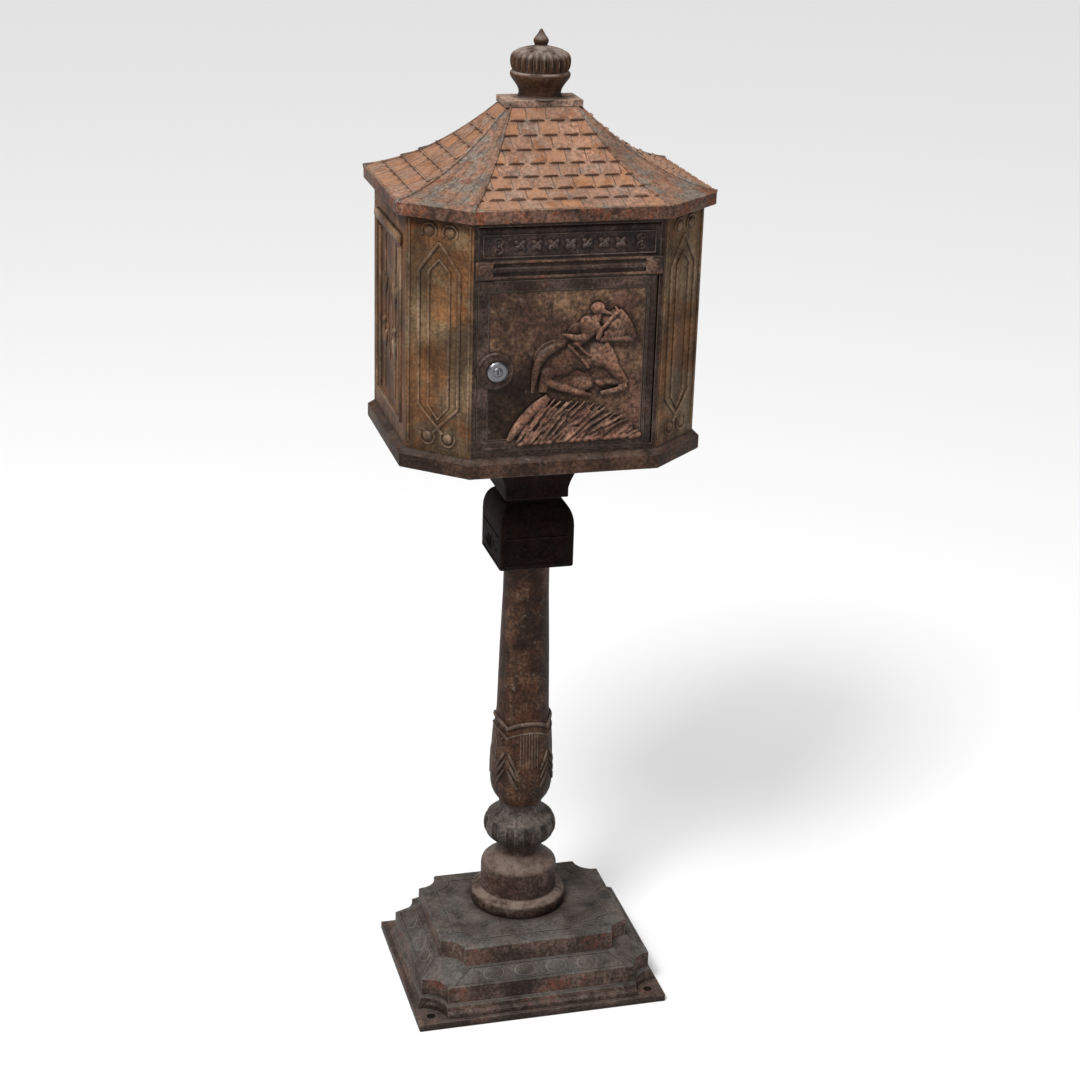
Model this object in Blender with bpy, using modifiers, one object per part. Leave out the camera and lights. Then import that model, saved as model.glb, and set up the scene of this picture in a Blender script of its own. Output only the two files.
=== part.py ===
"""Cast-iron pedestal letter box: stepped base, turned post, eight-sided box and flared roof.

Metres, +Z up.  The origin is on the ground, under the middle of the post and of the roof.
The front of the box, with its door and letter flap, faces -Y.
"""
import math

import bmesh
import bpy
from mathutils import Matrix

# ---------------------------------------------------------------- driving dimensions
GAP = 0.0003                 # between pieces that touch

BASE_SHIFT_Y = -0.0185       # the base reaches further forward than back from the post
BASE_HALF_X = 0.1545
BASE_HALF_Y = 0.1210
BASE_PLATE_Z = 0.009
BASE_TOP_Z = 0.088
BASE_WALL = 0.007
BASE_BOLT_IN = 0.0175        # bolt hole centre in from the plate's edges
BASE_BOLT_R = 0.0055

POST_BORE_R = 0.014
POST_TOP_Z = 0.5495
ROD_R = 0.006
ROD_HOLE_R = 0.007
ROD_LOW_Z = 0.062
ROD_HIGH_Z = 0.726
WASHER_R = 0.015
WASHER_THICK = 0.0025
NUT_R = 0.0108
NUT_THICK = 0.0085

CAPITAL_BLOCK_HALF = 0.0443
CAPITAL_CORNER = 0.0012
CAPITAL_NECK_HALF = 0.0277
CAPITAL_LIP_HALF = 0.0376
CAPITAL_LIP_Z = (0.6343, 0.6346, 0.6455)     # end of the neck, lip's underside, lip's top
CAPITAL_SHOULDER_Z = 0.600
CAPITAL_SHOULDER_RISE = 0.029
CAPITAL_FLARE = 0.0224
CAPITAL_TOP_Z = 0.703
FLOOR_Z = 0.7033             # underside of the box floor
FLOOR_PLATE = 0.007
FLOOR_RIM_Z = 0.7246         # the walls stand here
FLOOR_GROW = 0.0073
FLOOR_RIM_WIDTH = 0.022
FLOOR_LOW_BEVEL = 0.0015
FLOOR_TOP_BEVEL = 0.0052

BODY_HALF_X = 0.1663
BODY_HALF_Y = 0.1415
CORNER_Y = 0.0878            # where a side wall meets a chamfered return
CORNER_X = 0.1049            # where the front meets a chamfered return
WALL = 0.005
WALL_BOTTOM_Z = FLOOR_RIM_Z + GAP
WALL_TOP_Z = 0.9847
PANEL_DEPTH = 0.0015         # how far the side and back panels are sunk
PANEL_LOW_Z = 0.752
SIDE_PANEL_HALF_Y = 0.062
SIDE_PANEL_HIGH_Z = 0.945
BACK_PANEL_HALF_X = 0.085
BACK_PANEL_HIGH_Z = 0.958
FLANGE_THICK = 0.004         # flanges inside the returns, screwed to the side walls
FLANGE_Y = (0.067, 0.090)
FLANGE_Z = (0.737, 0.973)

EAVE_GROW = 0.0117
EAVE_BOTTOM_Z = 0.985
EAVE_TOP_Z = 0.9994
ROOF_TOP_Z = 1.083
ROOF_TOP_HALF_X = 0.040
ROOF_TOP_HALF_Y = 0.020
ROOF_TOP_CUT = 0.003
ROOF_SHELL = 0.005
ROOF_HOLLOW_START = 0.18     # shares of the slope that the hollow under it spans
ROOF_HOLLOW_END = 0.93
CROWN_HALF_X = 0.0436
CROWN_HALF_Y = 0.0223
CROWN_Z = 1.089
FINIAL_STUD_R = 0.005
FINIAL_STUD_Z = 1.060

DOOR_LEFT = -0.0995
DOOR_BOTTOM_Z = 0.7316
DOOR_TOP_Z = 0.9217
DOOR_FACE_Y = -0.1423
DOOR_FIELD_Y = -0.1405
DOOR_BACK_Y = -0.1370
DOOR_BORDER = 0.012
HINGE_X = 0.0955
HINGE_Y = -0.1385
HINGE_BARREL_R = 0.004
HINGE_PIN_R = 0.0016
HINGE_PIN_IN_DOOR = 0.0095
HINGE_PIN_IN_HEAD = 0.0085
HINGE_PIN_IN_SILL = 0.0045

OPENING_HALF_X = 0.1002
SILL_TOP_Z = 0.7310
TRANSOM_BOTTOM_Z = 0.9223
TRANSOM_TOP_Z = 0.9430
FLAP_HEAD_Z = 0.9795
LEDGE_Y = -0.1280            # how far in the ledges round the openings reach
STRIKE_Z = (0.735, 0.935)    # the rib that the lock's cam turns behind
STRIKE_BACK_Y = -0.1295
CUT_Y = (-0.16, -0.10)       # in front of the frame and behind its ledges

FLAP_HALF_X = 0.0998
FLAP_BOTTOM_Z = 0.9434
FLAP_PIN_Z = 0.9755
FLAP_PIN_Y = -0.1385
FLAP_BARREL_R = 0.0034
FLAP_THICK = 0.004
FLAP_PIN_R = 0.0014
FLAP_PIN_HALF = 0.1045

LOCK_X = -0.078
LOCK_Z = 0.8235
LOCK_FACE_R = 0.0111
LOCK_BODY_R = 0.008
LOCK_PLUG_R = 0.005
LOCK_BOSS_X = -0.080
LOCK_BOSS_R = 0.019
LOCK_BOSS_Y = -0.1443
LOCK_BACK_Y = -0.1280
LOCK_FACE_DEEP = 0.0038      # how far the barrel's face stands out from the boss
LOCK_NUT_R = 0.0125
LOCK_NUT_THICK = 0.004
LOCK_SCREW_R = 0.0021        # the hole for the cam's screw
CAM_LENGTH = 0.030
CAM_WIDTH = 0.012
CAM_THICK = 0.0025

WALL_SCREW_Y = 0.076
WALL_SCREW_Z = (0.765, 0.945)
LUG_X, LUG_Y = 0.1285, 0.1065    # screw lugs inside the four chamfered returns
LUG_R = 0.0085
LUG_THICK = 0.007
SCREW_R = 0.0018
SCREW_HOLE_R = 0.0022
SCREW_HEAD_R = 0.004

RUSTY = (0.25, 0.13, 0.08)
OCHRE = (0.30, 0.23, 0.13)
DARK = (0.09, 0.07, 0.06)
ROOF_RUST = (0.42, 0.20, 0.11)
STEEL = (0.35, 0.30, 0.27)
CHROME = (0.70, 0.70, 0.72)

for old in list(bpy.data.objects):
    bpy.data.objects.remove(old, do_unlink=True)


def new_collection(name):
    made = bpy.data.collections.new(name)
    bpy.context.scene.collection.children.link(made)
    return made


PARTS = new_collection("pedestal_mailbox")
CUTTERS = new_collection("cutters")


# ---------------------------------------------------------------- helpers
def material(name, colour, roughness, metallic):
    made = bpy.data.materials.new(name)
    made.use_nodes = True
    shader = made.node_tree.nodes["Principled BSDF"]
    shader.inputs["Base Color"].default_value = (*colour, 1.0)
    shader.inputs["Roughness"].default_value = roughness
    shader.inputs["Metallic"].default_value = metallic
    return made


def link_mesh(name, bm, smooth=False):
    """Put a bmesh into a new object with its faces pointing out."""
    bmesh.ops.recalc_face_normals(bm, faces=bm.faces)
    mesh = bpy.data.meshes.new(name)
    bm.to_mesh(mesh)
    bm.free()
    obj = bpy.data.objects.new(name, mesh)
    PARTS.objects.link(obj)
    if smooth:
        mesh.shade_smooth()
        mesh.set_sharp_from_angle(angle=math.radians(35))
    return obj


def finish(obj, colour, roughness=0.8, metallic=0.3):
    obj.data.materials.clear()
    obj.data.materials.append(material(obj.name, colour, roughness, metallic))
    return obj


def block(name, low, high):
    """An upright box between two corners."""
    bm = bmesh.new()
    size = [h - l for l, h in zip(low, high)]
    middle = [(h + l) / 2 for l, h in zip(low, high)]
    place = Matrix.Translation(middle) @ Matrix.Diagonal((*size, 1.0))
    bmesh.ops.create_cube(bm, size=1.0, matrix=place)
    return link_mesh(name, bm)


TURN_TO = {
    "X": Matrix.Rotation(math.pi / 2, 4, "Y"),
    "Y": Matrix.Rotation(-math.pi / 2, 4, "X"),
    "Z": Matrix.Identity(4),
}


def rod(name, axis, centre, radius, length, sides=24):
    """A round bar, or a hexagon with six sides, centred on a point."""
    bm = bmesh.new()
    place = Matrix.Translation(centre) @ TURN_TO[axis]
    bmesh.ops.create_cone(bm, cap_ends=True, segments=sides, radius1=radius,
                          radius2=radius, depth=length, matrix=place)
    return link_mesh(name, bm, smooth=sides > 6)


def slab(name, outline, low, high):
    """A flat outline in X and Y, extruded from one height to another."""
    curve = bpy.data.curves.new(name, "CURVE")
    curve.dimensions = "2D"
    curve.fill_mode = "BOTH"
    curve.extrude = (high - low) / 2
    spline = curve.splines.new("POLY")
    spline.points.add(len(outline) - 1)
    for point, (x, y) in zip(spline.points, outline):
        point.co = (x, y, 0.0, 1.0)
    spline.use_cyclic_u = True
    guide = bpy.data.objects.new(name + "_outline", curve)
    guide.location.z = (high + low) / 2
    PARTS.objects.link(guide)
    bpy.context.view_layer.update()
    depsgraph = bpy.context.evaluated_depsgraph_get()
    mesh = bpy.data.meshes.new_from_object(guide.evaluated_get(depsgraph))
    mesh.transform(guide.matrix_world)
    bpy.data.objects.remove(guide, do_unlink=True)
    bm = bmesh.new()
    bm.from_mesh(mesh)
    bmesh.ops.remove_doubles(bm, verts=bm.verts, dist=1e-5)
    return link_mesh(name, bm)


def loft(name, sections, smooth=False):
    """Skin through outlines of equal point count; each is (outline, height)."""
    bm = bmesh.new()
    rings = [[bm.verts.new((x, y, z)) for x, y in outline] for outline, z in sections]
    bm.faces.new(rings[0])
    bm.faces.new(rings[-1])
    count = len(rings[0])
    for lower, upper in zip(rings, rings[1:]):
        for i in range(count):
            j = (i + 1) % count
            bm.faces.new((lower[i], lower[j], upper[j], upper[i]))
    return link_mesh(name, bm, smooth)


def turned(name, outer, bore=None, steps=32):
    """A lathe-turned piece about Z: outer radii from top to bottom, and a bore radius."""
    points = list(outer)
    if bore:
        points += [(bore, outer[-1][1]), (bore, outer[0][1])]
    bm = bmesh.new()
    verts = [bm.verts.new((radius, 0.0, height)) for radius, height in points]
    for start, end in zip(verts, verts[1:]):
        bm.edges.new((start, end))
    if bore:
        bm.edges.new((verts[-1], verts[0]))
    mesh = bpy.data.meshes.new(name)
    bm.to_mesh(mesh)
    bm.free()
    obj = bpy.data.objects.new(name, mesh)
    PARTS.objects.link(obj)
    screw = obj.modifiers.new("turn", "SCREW")
    screw.axis = "Z"
    screw.angle = 2 * math.pi
    screw.steps = steps
    screw.render_steps = steps
    screw.use_merge_vertices = True
    screw.merge_threshold = 0.00002
    screw.use_smooth_shade = True
    return obj


def combine(obj, other, operation):
    modifier = obj.modifiers.new(operation.lower(), "BOOLEAN")
    modifier.operation = operation
    modifier.solver = "EXACT"
    modifier.object = other
    PARTS.objects.unlink(other)
    CUTTERS.objects.link(other)
    other.hide_render = True


def cut(obj, *others):
    for other in others:
        combine(obj, other, "DIFFERENCE")


def fuse(obj, *others):
    for other in others:
        combine(obj, other, "UNION")


def set_origin(obj, point):
    """Move the origin onto a joint axis and leave the shape where it is."""
    obj.data.transform(Matrix.Translation([-value for value in point]))
    obj.location = point


# ---------------------------------------------------------------- outlines
def octagon(grow=0.0):
    """The body's eight corners, with every side moved out by grow."""
    run = math.hypot(BODY_HALF_X - CORNER_X, BODY_HALF_Y - CORNER_Y)
    normal_x = (BODY_HALF_Y - CORNER_Y) / run
    normal_y = (BODY_HALF_X - CORNER_X) / run
    reach = normal_x * BODY_HALF_X + normal_y * CORNER_Y + grow
    side_x = BODY_HALF_X + grow
    front_y = BODY_HALF_Y + grow
    side_y = (reach - normal_x * side_x) / normal_y
    front_x = (reach - normal_y * front_y) / normal_x
    return [(side_x, -side_y), (side_x, side_y), (front_x, front_y), (-front_x, front_y),
            (-side_x, side_y), (-side_x, -side_y), (-front_x, -front_y), (front_x, -front_y)]


def cut_rectangle(half_x, half_y, cut_x, cut_y):
    """A rectangle with its corners cut, in the same order of points as octagon."""
    side_y = half_y - cut_y
    front_x = half_x - cut_x
    return [(half_x, -side_y), (half_x, side_y), (front_x, half_y), (-front_x, half_y),
            (-half_x, side_y), (-half_x, -side_y), (-front_x, -half_y), (front_x, -half_y)]


def bitten_rectangle(half_x, half_y, bite, arc_steps=5):
    """A rectangle about the base's middle, with a concave quarter bite at each corner."""
    outline = []
    for sign_x, sign_y in ((1, 1), (-1, 1), (-1, -1), (1, -1)):
        arc = []
        for i in range(arc_steps + 1):
            turn = i / arc_steps * math.pi / 2
            arc.append((sign_x * (half_x - bite * math.sin(turn)),
                        sign_y * (half_y - bite * math.cos(turn))))
        if sign_x * sign_y < 0:
            arc.reverse()
        outline += arc
    return [(x, y + BASE_SHIFT_Y) for x, y in outline]


def roof_section(share, shrink=0.0):
    """The roof's outline and height, from share 0 at the eave to 1 under the crown."""
    eave = octagon(EAVE_GROW)
    top = cut_rectangle(ROOF_TOP_HALF_X, ROOF_TOP_HALF_Y, ROOF_TOP_CUT, ROOF_TOP_CUT)
    outline = []
    for (eave_x, eave_y), (top_x, top_y) in zip(eave, top):
        x = eave_x + (top_x - eave_x) * share
        y = eave_y + (top_y - eave_y) * share
        outline.append((x - math.copysign(shrink, x), y - math.copysign(shrink, y)))
    rise = (ROOF_TOP_Z - EAVE_TOP_Z) * (0.35 * share + 0.65 * share * share)
    return outline, EAVE_TOP_Z + rise


# ---------------------------------------------------------------- base
def make_base():
    middle_y = BASE_SHIFT_Y
    base = block("base", (-BASE_HALF_X, middle_y - BASE_HALF_Y, 0.0),
                 (BASE_HALF_X, middle_y + BASE_HALF_Y, BASE_PLATE_Z))
    tiers = (
        (0.1500, 0.1165, 0.031, 0.005), (0.1500, 0.1165, 0.031, 0.015),
        (0.1475, 0.1130, 0.029, 0.018), (0.1470, 0.1120, 0.028, 0.023),
        (0.1440, 0.1070, 0.027, 0.0245), (0.1440, 0.1070, 0.027, 0.046),
        (0.1205, 0.0885, 0.024, 0.063), (0.1175, 0.0885, 0.025, 0.064),
        (0.1175, 0.0885, 0.025, 0.086), (0.1160, 0.0870, 0.025, BASE_TOP_Z),
    )
    steps = loft("base_steps", [(bitten_rectangle(x, y, bite), z) for x, y, bite, z in tiers])
    fuse(base, steps)
    hollow = (
        (0.1440, 0.1100, 0.033, -0.002), (0.1370, 0.1000, 0.033, 0.018),
        (0.1370, 0.1000, 0.033, 0.041), (0.1105, 0.0815, 0.030, 0.060),
        (0.1105, 0.0815, 0.030, BASE_TOP_Z - BASE_WALL),
    )
    cut(base, loft("base_hollow", [(bitten_rectangle(x, y, bite), z)
                                   for x, y, bite, z in hollow]))
    cut(base, rod("base_rod_hole", "Z", (0, 0, BASE_TOP_Z), ROD_HOLE_R, 0.03))
    bolt_x = BASE_HALF_X - BASE_BOLT_IN
    bolt_y = BASE_HALF_Y - BASE_BOLT_IN
    for i, (sign_x, sign_y) in enumerate(((1, 1), (-1, 1), (-1, -1), (1, -1))):
        spot = (sign_x * bolt_x, middle_y + sign_y * bolt_y, BASE_PLATE_Z / 2)
        cut(base, rod(f"base_bolt_hole_{i}", "Z", spot, BASE_BOLT_R, 0.03, 16))
    return finish(base, RUSTY, 0.85)


# ---------------------------------------------------------------- post and capital
def make_post():
    """One hollow casting: foot, lobed ring, leaf cup and tapered shaft."""
    bottom = BASE_TOP_Z + GAP
    profile = [
        (0.0270, POST_TOP_Z), (0.0275, 0.505), (0.0300, 0.430), (0.0320, 0.349),
        (0.0333, 0.345), (0.0357, 0.341), (0.0360, 0.336), (0.0349, 0.330),
        (0.0367, 0.300), (0.0380, 0.268), (0.0379, 0.254), (0.0357, 0.243),
        (0.0310, 0.234), (0.0272, 0.229), (0.0260, 0.222), (0.0290, 0.212),
        (0.0380, 0.208), (0.0425, 0.202), (0.0447, 0.193), (0.0430, 0.184),
        (0.0370, 0.177), (0.0290, 0.173), (0.0281, 0.164), (0.0300, 0.157),
        (0.0365, 0.150), (0.0440, 0.144), (0.0465, 0.140), (0.0470, 0.135),
        (0.0470, 0.108), (0.0520, 0.105), (0.0565, 0.1035), (0.0588, 0.100),
        (0.0588, bottom),
    ]
    return finish(turned("post", profile, POST_BORE_R), DARK, 0.8)


def make_capital_block():
    """The square block over the shaft, its shoulders, neck, lip and flare, in one casting."""
    bottom = POST_TOP_Z + GAP
    neck_z, lip_low, lip_high = CAPITAL_LIP_Z
    levels = [(CAPITAL_BLOCK_HALF - CAPITAL_CORNER, bottom),
              (CAPITAL_BLOCK_HALF, bottom + CAPITAL_CORNER), (CAPITAL_BLOCK_HALF, CAPITAL_SHOULDER_Z)]
    for i in range(1, 7):
        turn = i / 6 * math.radians(84)
        levels.append((CAPITAL_NECK_HALF + (CAPITAL_BLOCK_HALF - CAPITAL_NECK_HALF) * math.cos(turn),
                       CAPITAL_SHOULDER_Z + CAPITAL_SHOULDER_RISE * math.sin(turn)))
    levels += [(CAPITAL_NECK_HALF, neck_z), (CAPITAL_LIP_HALF, lip_low), (CAPITAL_LIP_HALF, lip_high)]
    flare_end = CAPITAL_TOP_Z - 0.0025
    for i in range(1, 7):
        share = i / 6
        levels.append((CAPITAL_LIP_HALF + CAPITAL_FLARE * share ** 1.3,
                       lip_high + (flare_end - lip_high) * share))
    levels.append((CAPITAL_LIP_HALF + CAPITAL_FLARE, CAPITAL_TOP_Z))
    capital = loft("capital_block", [(cut_rectangle(half, half, CAPITAL_CORNER, CAPITAL_CORNER), z)
                                     for half, z in levels])
    cut(capital, rod("capital_bore", "Z", (0, 0, 0.62), ROD_HOLE_R, 0.3))
    return finish(capital, DARK, 0.8)


def make_tie_rod():
    """The long rod that clamps the floor, capital and post down on the base."""
    rod_piece = rod("tie_rod", "Z", (0, 0, (ROD_LOW_Z + ROD_HIGH_Z) / 2), ROD_R, ROD_HIGH_Z - ROD_LOW_Z)
    finish(rod_piece, STEEL, 0.6, 0.8)
    under = BASE_TOP_Z - BASE_WALL - GAP
    over = FLOOR_Z + FLOOR_PLATE + GAP
    for place, top in (("lower", under), ("upper", over + WASHER_THICK)):
        ring = turned(f"tie_rod_{place}_washer", [(WASHER_R, top), (WASHER_R, top - WASHER_THICK)],
                      ROD_R + GAP, 24)
        finish(ring, STEEL, 0.6, 0.8)
    for place, low in (("lower", under - WASHER_THICK - GAP - NUT_THICK),
                       ("upper", over + WASHER_THICK + GAP)):
        middle = (0, 0, low + NUT_THICK / 2)
        hexagon = rod(f"tie_rod_{place}_nut", "Z", middle, NUT_R, NUT_THICK, 6)
        cut(hexagon, rod(f"tie_rod_{place}_nut_bore", "Z", middle, ROD_R + GAP, NUT_THICK * 2))
        finish(hexagon, STEEL, 0.6, 0.8)


# ---------------------------------------------------------------- box
def lug_spots():
    return [(sx * LUG_X, sy * LUG_Y) for sx, sy in ((1, 1), (-1, 1), (-1, -1), (1, -1))]


def make_box_floor():
    edge = octagon(FLOOR_GROW)
    floor = loft("box_floor", [
        (octagon(FLOOR_GROW - FLOOR_LOW_BEVEL), FLOOR_Z), (edge, FLOOR_Z + FLOOR_LOW_BEVEL),
        (edge, FLOOR_RIM_Z - FLOOR_TOP_BEVEL), (octagon(0.0005), FLOOR_RIM_Z - 0.0002),
        (octagon(-0.0005), FLOOR_RIM_Z),
    ])
    tray = octagon(-FLOOR_RIM_WIDTH)
    cut(floor, loft("floor_tray", [(tray, FLOOR_Z + FLOOR_PLATE), (tray, FLOOR_RIM_Z + 0.01)]))
    cut(floor, rod("floor_rod_hole", "Z", (0, 0, FLOOR_Z), ROD_HOLE_R, 0.04))
    for i, (x, y) in enumerate(lug_spots()):
        cut(floor, rod(f"floor_screw_hole_{i}", "Z", (x, y, FLOOR_RIM_Z), SCREW_HOLE_R, 0.020, 12))
    return finish(floor, DARK, 0.8)


def return_outline(sign_y):
    """Front or back wall with its two chamfered returns, as one bent strip."""
    outer = octagon()
    inner = octagon(-WALL)
    picks = (0, 7, 6, 5) if sign_y < 0 else (1, 2, 3, 4)
    return [outer[i] for i in picks] + [inner[i] for i in reversed(picks)]


def add_lugs_and_flanges(wall, sign_y):
    """Screw lugs at the floor and roof, and the two flanges that hold the side walls."""
    for i, (x, y) in enumerate(lug_spots()):
        if y * sign_y < 0:
            continue
        for level, low in (("low", WALL_BOTTOM_Z), ("high", WALL_TOP_Z - LUG_THICK)):
            middle = low + LUG_THICK / 2
            name = f"{wall.name}_lug_{level}_{i}"
            fuse(wall, rod(name, "Z", (x, y, middle), LUG_R, LUG_THICK, 16))
            cut(wall, rod(name + "_hole", "Z", (x, y, middle), SCREW_HOLE_R, 0.02, 12))
    flange_out = BODY_HALF_X - WALL - GAP
    flange_in = flange_out - FLANGE_THICK
    for sign_x in (-1, 1):
        x_ends = sorted((sign_x * flange_in, sign_x * flange_out))
        y_ends = sorted(sign_y * y for y in FLANGE_Y)
        fuse(wall, block(f"{wall.name}_flange_{sign_x}", (x_ends[0], y_ends[0], FLANGE_Z[0]),
                         (x_ends[1], y_ends[1], FLANGE_Z[1])))
        for z in WALL_SCREW_Z:
            spot = (sign_x * (flange_in + flange_out) / 2, sign_y * WALL_SCREW_Y, z)
            cut(wall, rod(f"{wall.name}_flange_hole_{sign_x}_{z}", "X", spot,
                          SCREW_HOLE_R, 0.008, 12))


def make_front_frame():
    frame = slab("front_frame", return_outline(-1), WALL_BOTTOM_Z, WALL_TOP_Z)
    half = OPENING_HALF_X
    wide = half + 0.002
    deep = 0.0005 - BODY_HALF_Y
    fuse(frame,
         block("frame_transom", (-wide, deep, TRANSOM_BOTTOM_Z - 0.002), (wide, LEDGE_Y, TRANSOM_TOP_Z)),
         block("frame_sill", (-wide, deep, WALL_BOTTOM_Z), (wide, LEDGE_Y, SILL_TOP_Z)),
         block("frame_head", (-wide, deep, FLAP_HEAD_Z), (wide, LEDGE_Y, WALL_TOP_Z)),
         block("frame_strike", (-half - 0.005, deep + 0.002, STRIKE_Z[0]),
               (-half - 0.0002, STRIKE_BACK_Y, STRIKE_Z[1])))
    cut(frame,
        block("door_opening", (-half, CUT_Y[0], SILL_TOP_Z), (half, CUT_Y[1], TRANSOM_BOTTOM_Z)),
        block("flap_opening", (-half, CUT_Y[0], TRANSOM_TOP_Z), (half, CUT_Y[1], FLAP_HEAD_Z)))
    add_lugs_and_flanges(frame, -1)
    hinge_hole = HINGE_PIN_R + GAP
    cut(frame,
        rod("hinge_hole_top", "Z", (HINGE_X, HINGE_Y, TRANSOM_BOTTOM_Z), hinge_hole, 0.018, 16),
        rod("hinge_hole_low", "Z", (HINGE_X, HINGE_Y, SILL_TOP_Z), hinge_hole, 0.010, 16),
        rod("flap_pin_hole", "X", (0, FLAP_PIN_Y, FLAP_PIN_Z), FLAP_PIN_R + GAP,
            2 * FLAP_PIN_HALF + 0.0008, 16))
    return finish(frame, OCHRE)


def make_back_wall():
    wall = slab("back_wall", return_outline(1), WALL_BOTTOM_Z, WALL_TOP_Z)
    add_lugs_and_flanges(wall, 1)
    cut(wall, block("back_recess", (-BACK_PANEL_HALF_X, BODY_HALF_Y - PANEL_DEPTH, PANEL_LOW_Z),
                    (BACK_PANEL_HALF_X, BODY_HALF_Y + 0.02, BACK_PANEL_HIGH_Z)))
    return finish(wall, OCHRE)


def make_side_wall(name, sign_x):
    """A flat plate with a sunk panel; blind holes take the screws from inside."""
    outer = octagon()
    inner = octagon(-WALL)
    corner_out = outer[1][1] - GAP
    corner_in = inner[1][1] - GAP
    outline = [(sign_x * outer[1][0], -corner_out), (sign_x * outer[1][0], corner_out),
               (sign_x * inner[1][0], corner_in), (sign_x * inner[1][0], -corner_in)]
    wall = slab(name, outline, WALL_BOTTOM_Z, WALL_TOP_Z)
    face = sign_x * BODY_HALF_X
    depths = sorted((face - sign_x * PANEL_DEPTH, face + sign_x * 0.02))
    cut(wall, block(f"{name}_recess", (depths[0], -SIDE_PANEL_HALF_Y, PANEL_LOW_Z),
                    (depths[1], SIDE_PANEL_HALF_Y, SIDE_PANEL_HIGH_Z)))
    hole_middle = sign_x * (BODY_HALF_X - WALL)
    for sign_y in (-1, 1):
        for z in WALL_SCREW_Z:
            spot = (hole_middle, sign_y * WALL_SCREW_Y, z)
            cut(wall, rod(f"{name}_hole_{sign_y}_{z}", "X", spot, SCREW_HOLE_R, 0.0070, 12))
    return finish(wall, OCHRE)


def make_roof():
    """One casting: fascia, eight flared faces, the crown plate and the hollow under them."""
    levels = [(octagon(EAVE_GROW - 0.001), EAVE_BOTTOM_Z), (octagon(EAVE_GROW), EAVE_BOTTOM_Z + 0.001)]
    levels += [roof_section(i / 12) for i in range(13)]
    roof = loft("roof", levels)
    fuse(roof, block("roof_crown", (-CROWN_HALF_X, -CROWN_HALF_Y, ROOF_TOP_Z - 0.001),
                     (CROWN_HALF_X, CROWN_HALF_Y, CROWN_Z)))
    inside = []
    for i in range(9):
        share = ROOF_HOLLOW_START + (ROOF_HOLLOW_END - ROOF_HOLLOW_START) * i / 8
        outline, height = roof_section(share, 0.003)
        inside.append((outline, height - ROOF_SHELL))
    inside.insert(0, (inside[0][0], EAVE_BOTTOM_Z - 0.004))
    cut(roof, loft("roof_hollow", inside))
    cut(roof, rod("finial_hole", "Z", (0, 0, CROWN_Z), FINIAL_STUD_R + 0.0004, 0.05))
    for i, (x, y) in enumerate(lug_spots()):
        cut(roof, rod(f"roof_screw_hole_{i}", "Z", (x, y, EAVE_BOTTOM_Z), SCREW_HOLE_R, 0.020, 12))
    return finish(roof, ROOF_RUST, 0.85)


def make_finial():
    """The urn, its lid and tip, and the stud that goes down through the crown."""
    foot = CROWN_Z + GAP
    profile = [
        (0.0, 1.1627), (0.0014, 1.1619), (0.0050, 1.1561), (0.0070, 1.1532), (0.0084, 1.1510),
        (0.0087, 1.1492), (0.0080, 1.1470), (0.0073, 1.1452), (0.0082, 1.1440), (0.0152, 1.1429),
        (0.0242, 1.1403), (0.0300, 1.1373), (0.0328, 1.1340), (0.0336, 1.1300), (0.0334, 1.1250),
        (0.0320, 1.1205), (0.0309, 1.1182), (0.0330, 1.1166), (0.0336, 1.1144), (0.0326, 1.1108),
        (0.0296, 1.1065), (0.0262, 1.1018), (0.0240, 1.0976), (0.0234, 1.0945), (0.0244, 1.0908),
        (0.0254, foot), (FINIAL_STUD_R, foot), (FINIAL_STUD_R, FINIAL_STUD_Z), (0.0, FINIAL_STUD_Z),
    ]
    finish(turned("finial", profile), RUSTY)
    under = roof_section(ROOF_HOLLOW_END)[1] - ROOF_SHELL - GAP
    depth = 0.007
    nut = rod("finial_nut", "Z", (0, 0, under - depth / 2), 0.0092, depth, 6)
    cut(nut, rod("finial_nut_bore", "Z", (0, 0, under - depth / 2), FINIAL_STUD_R + GAP, 0.02))
    finish(nut, STEEL, 0.6, 0.8)


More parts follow.
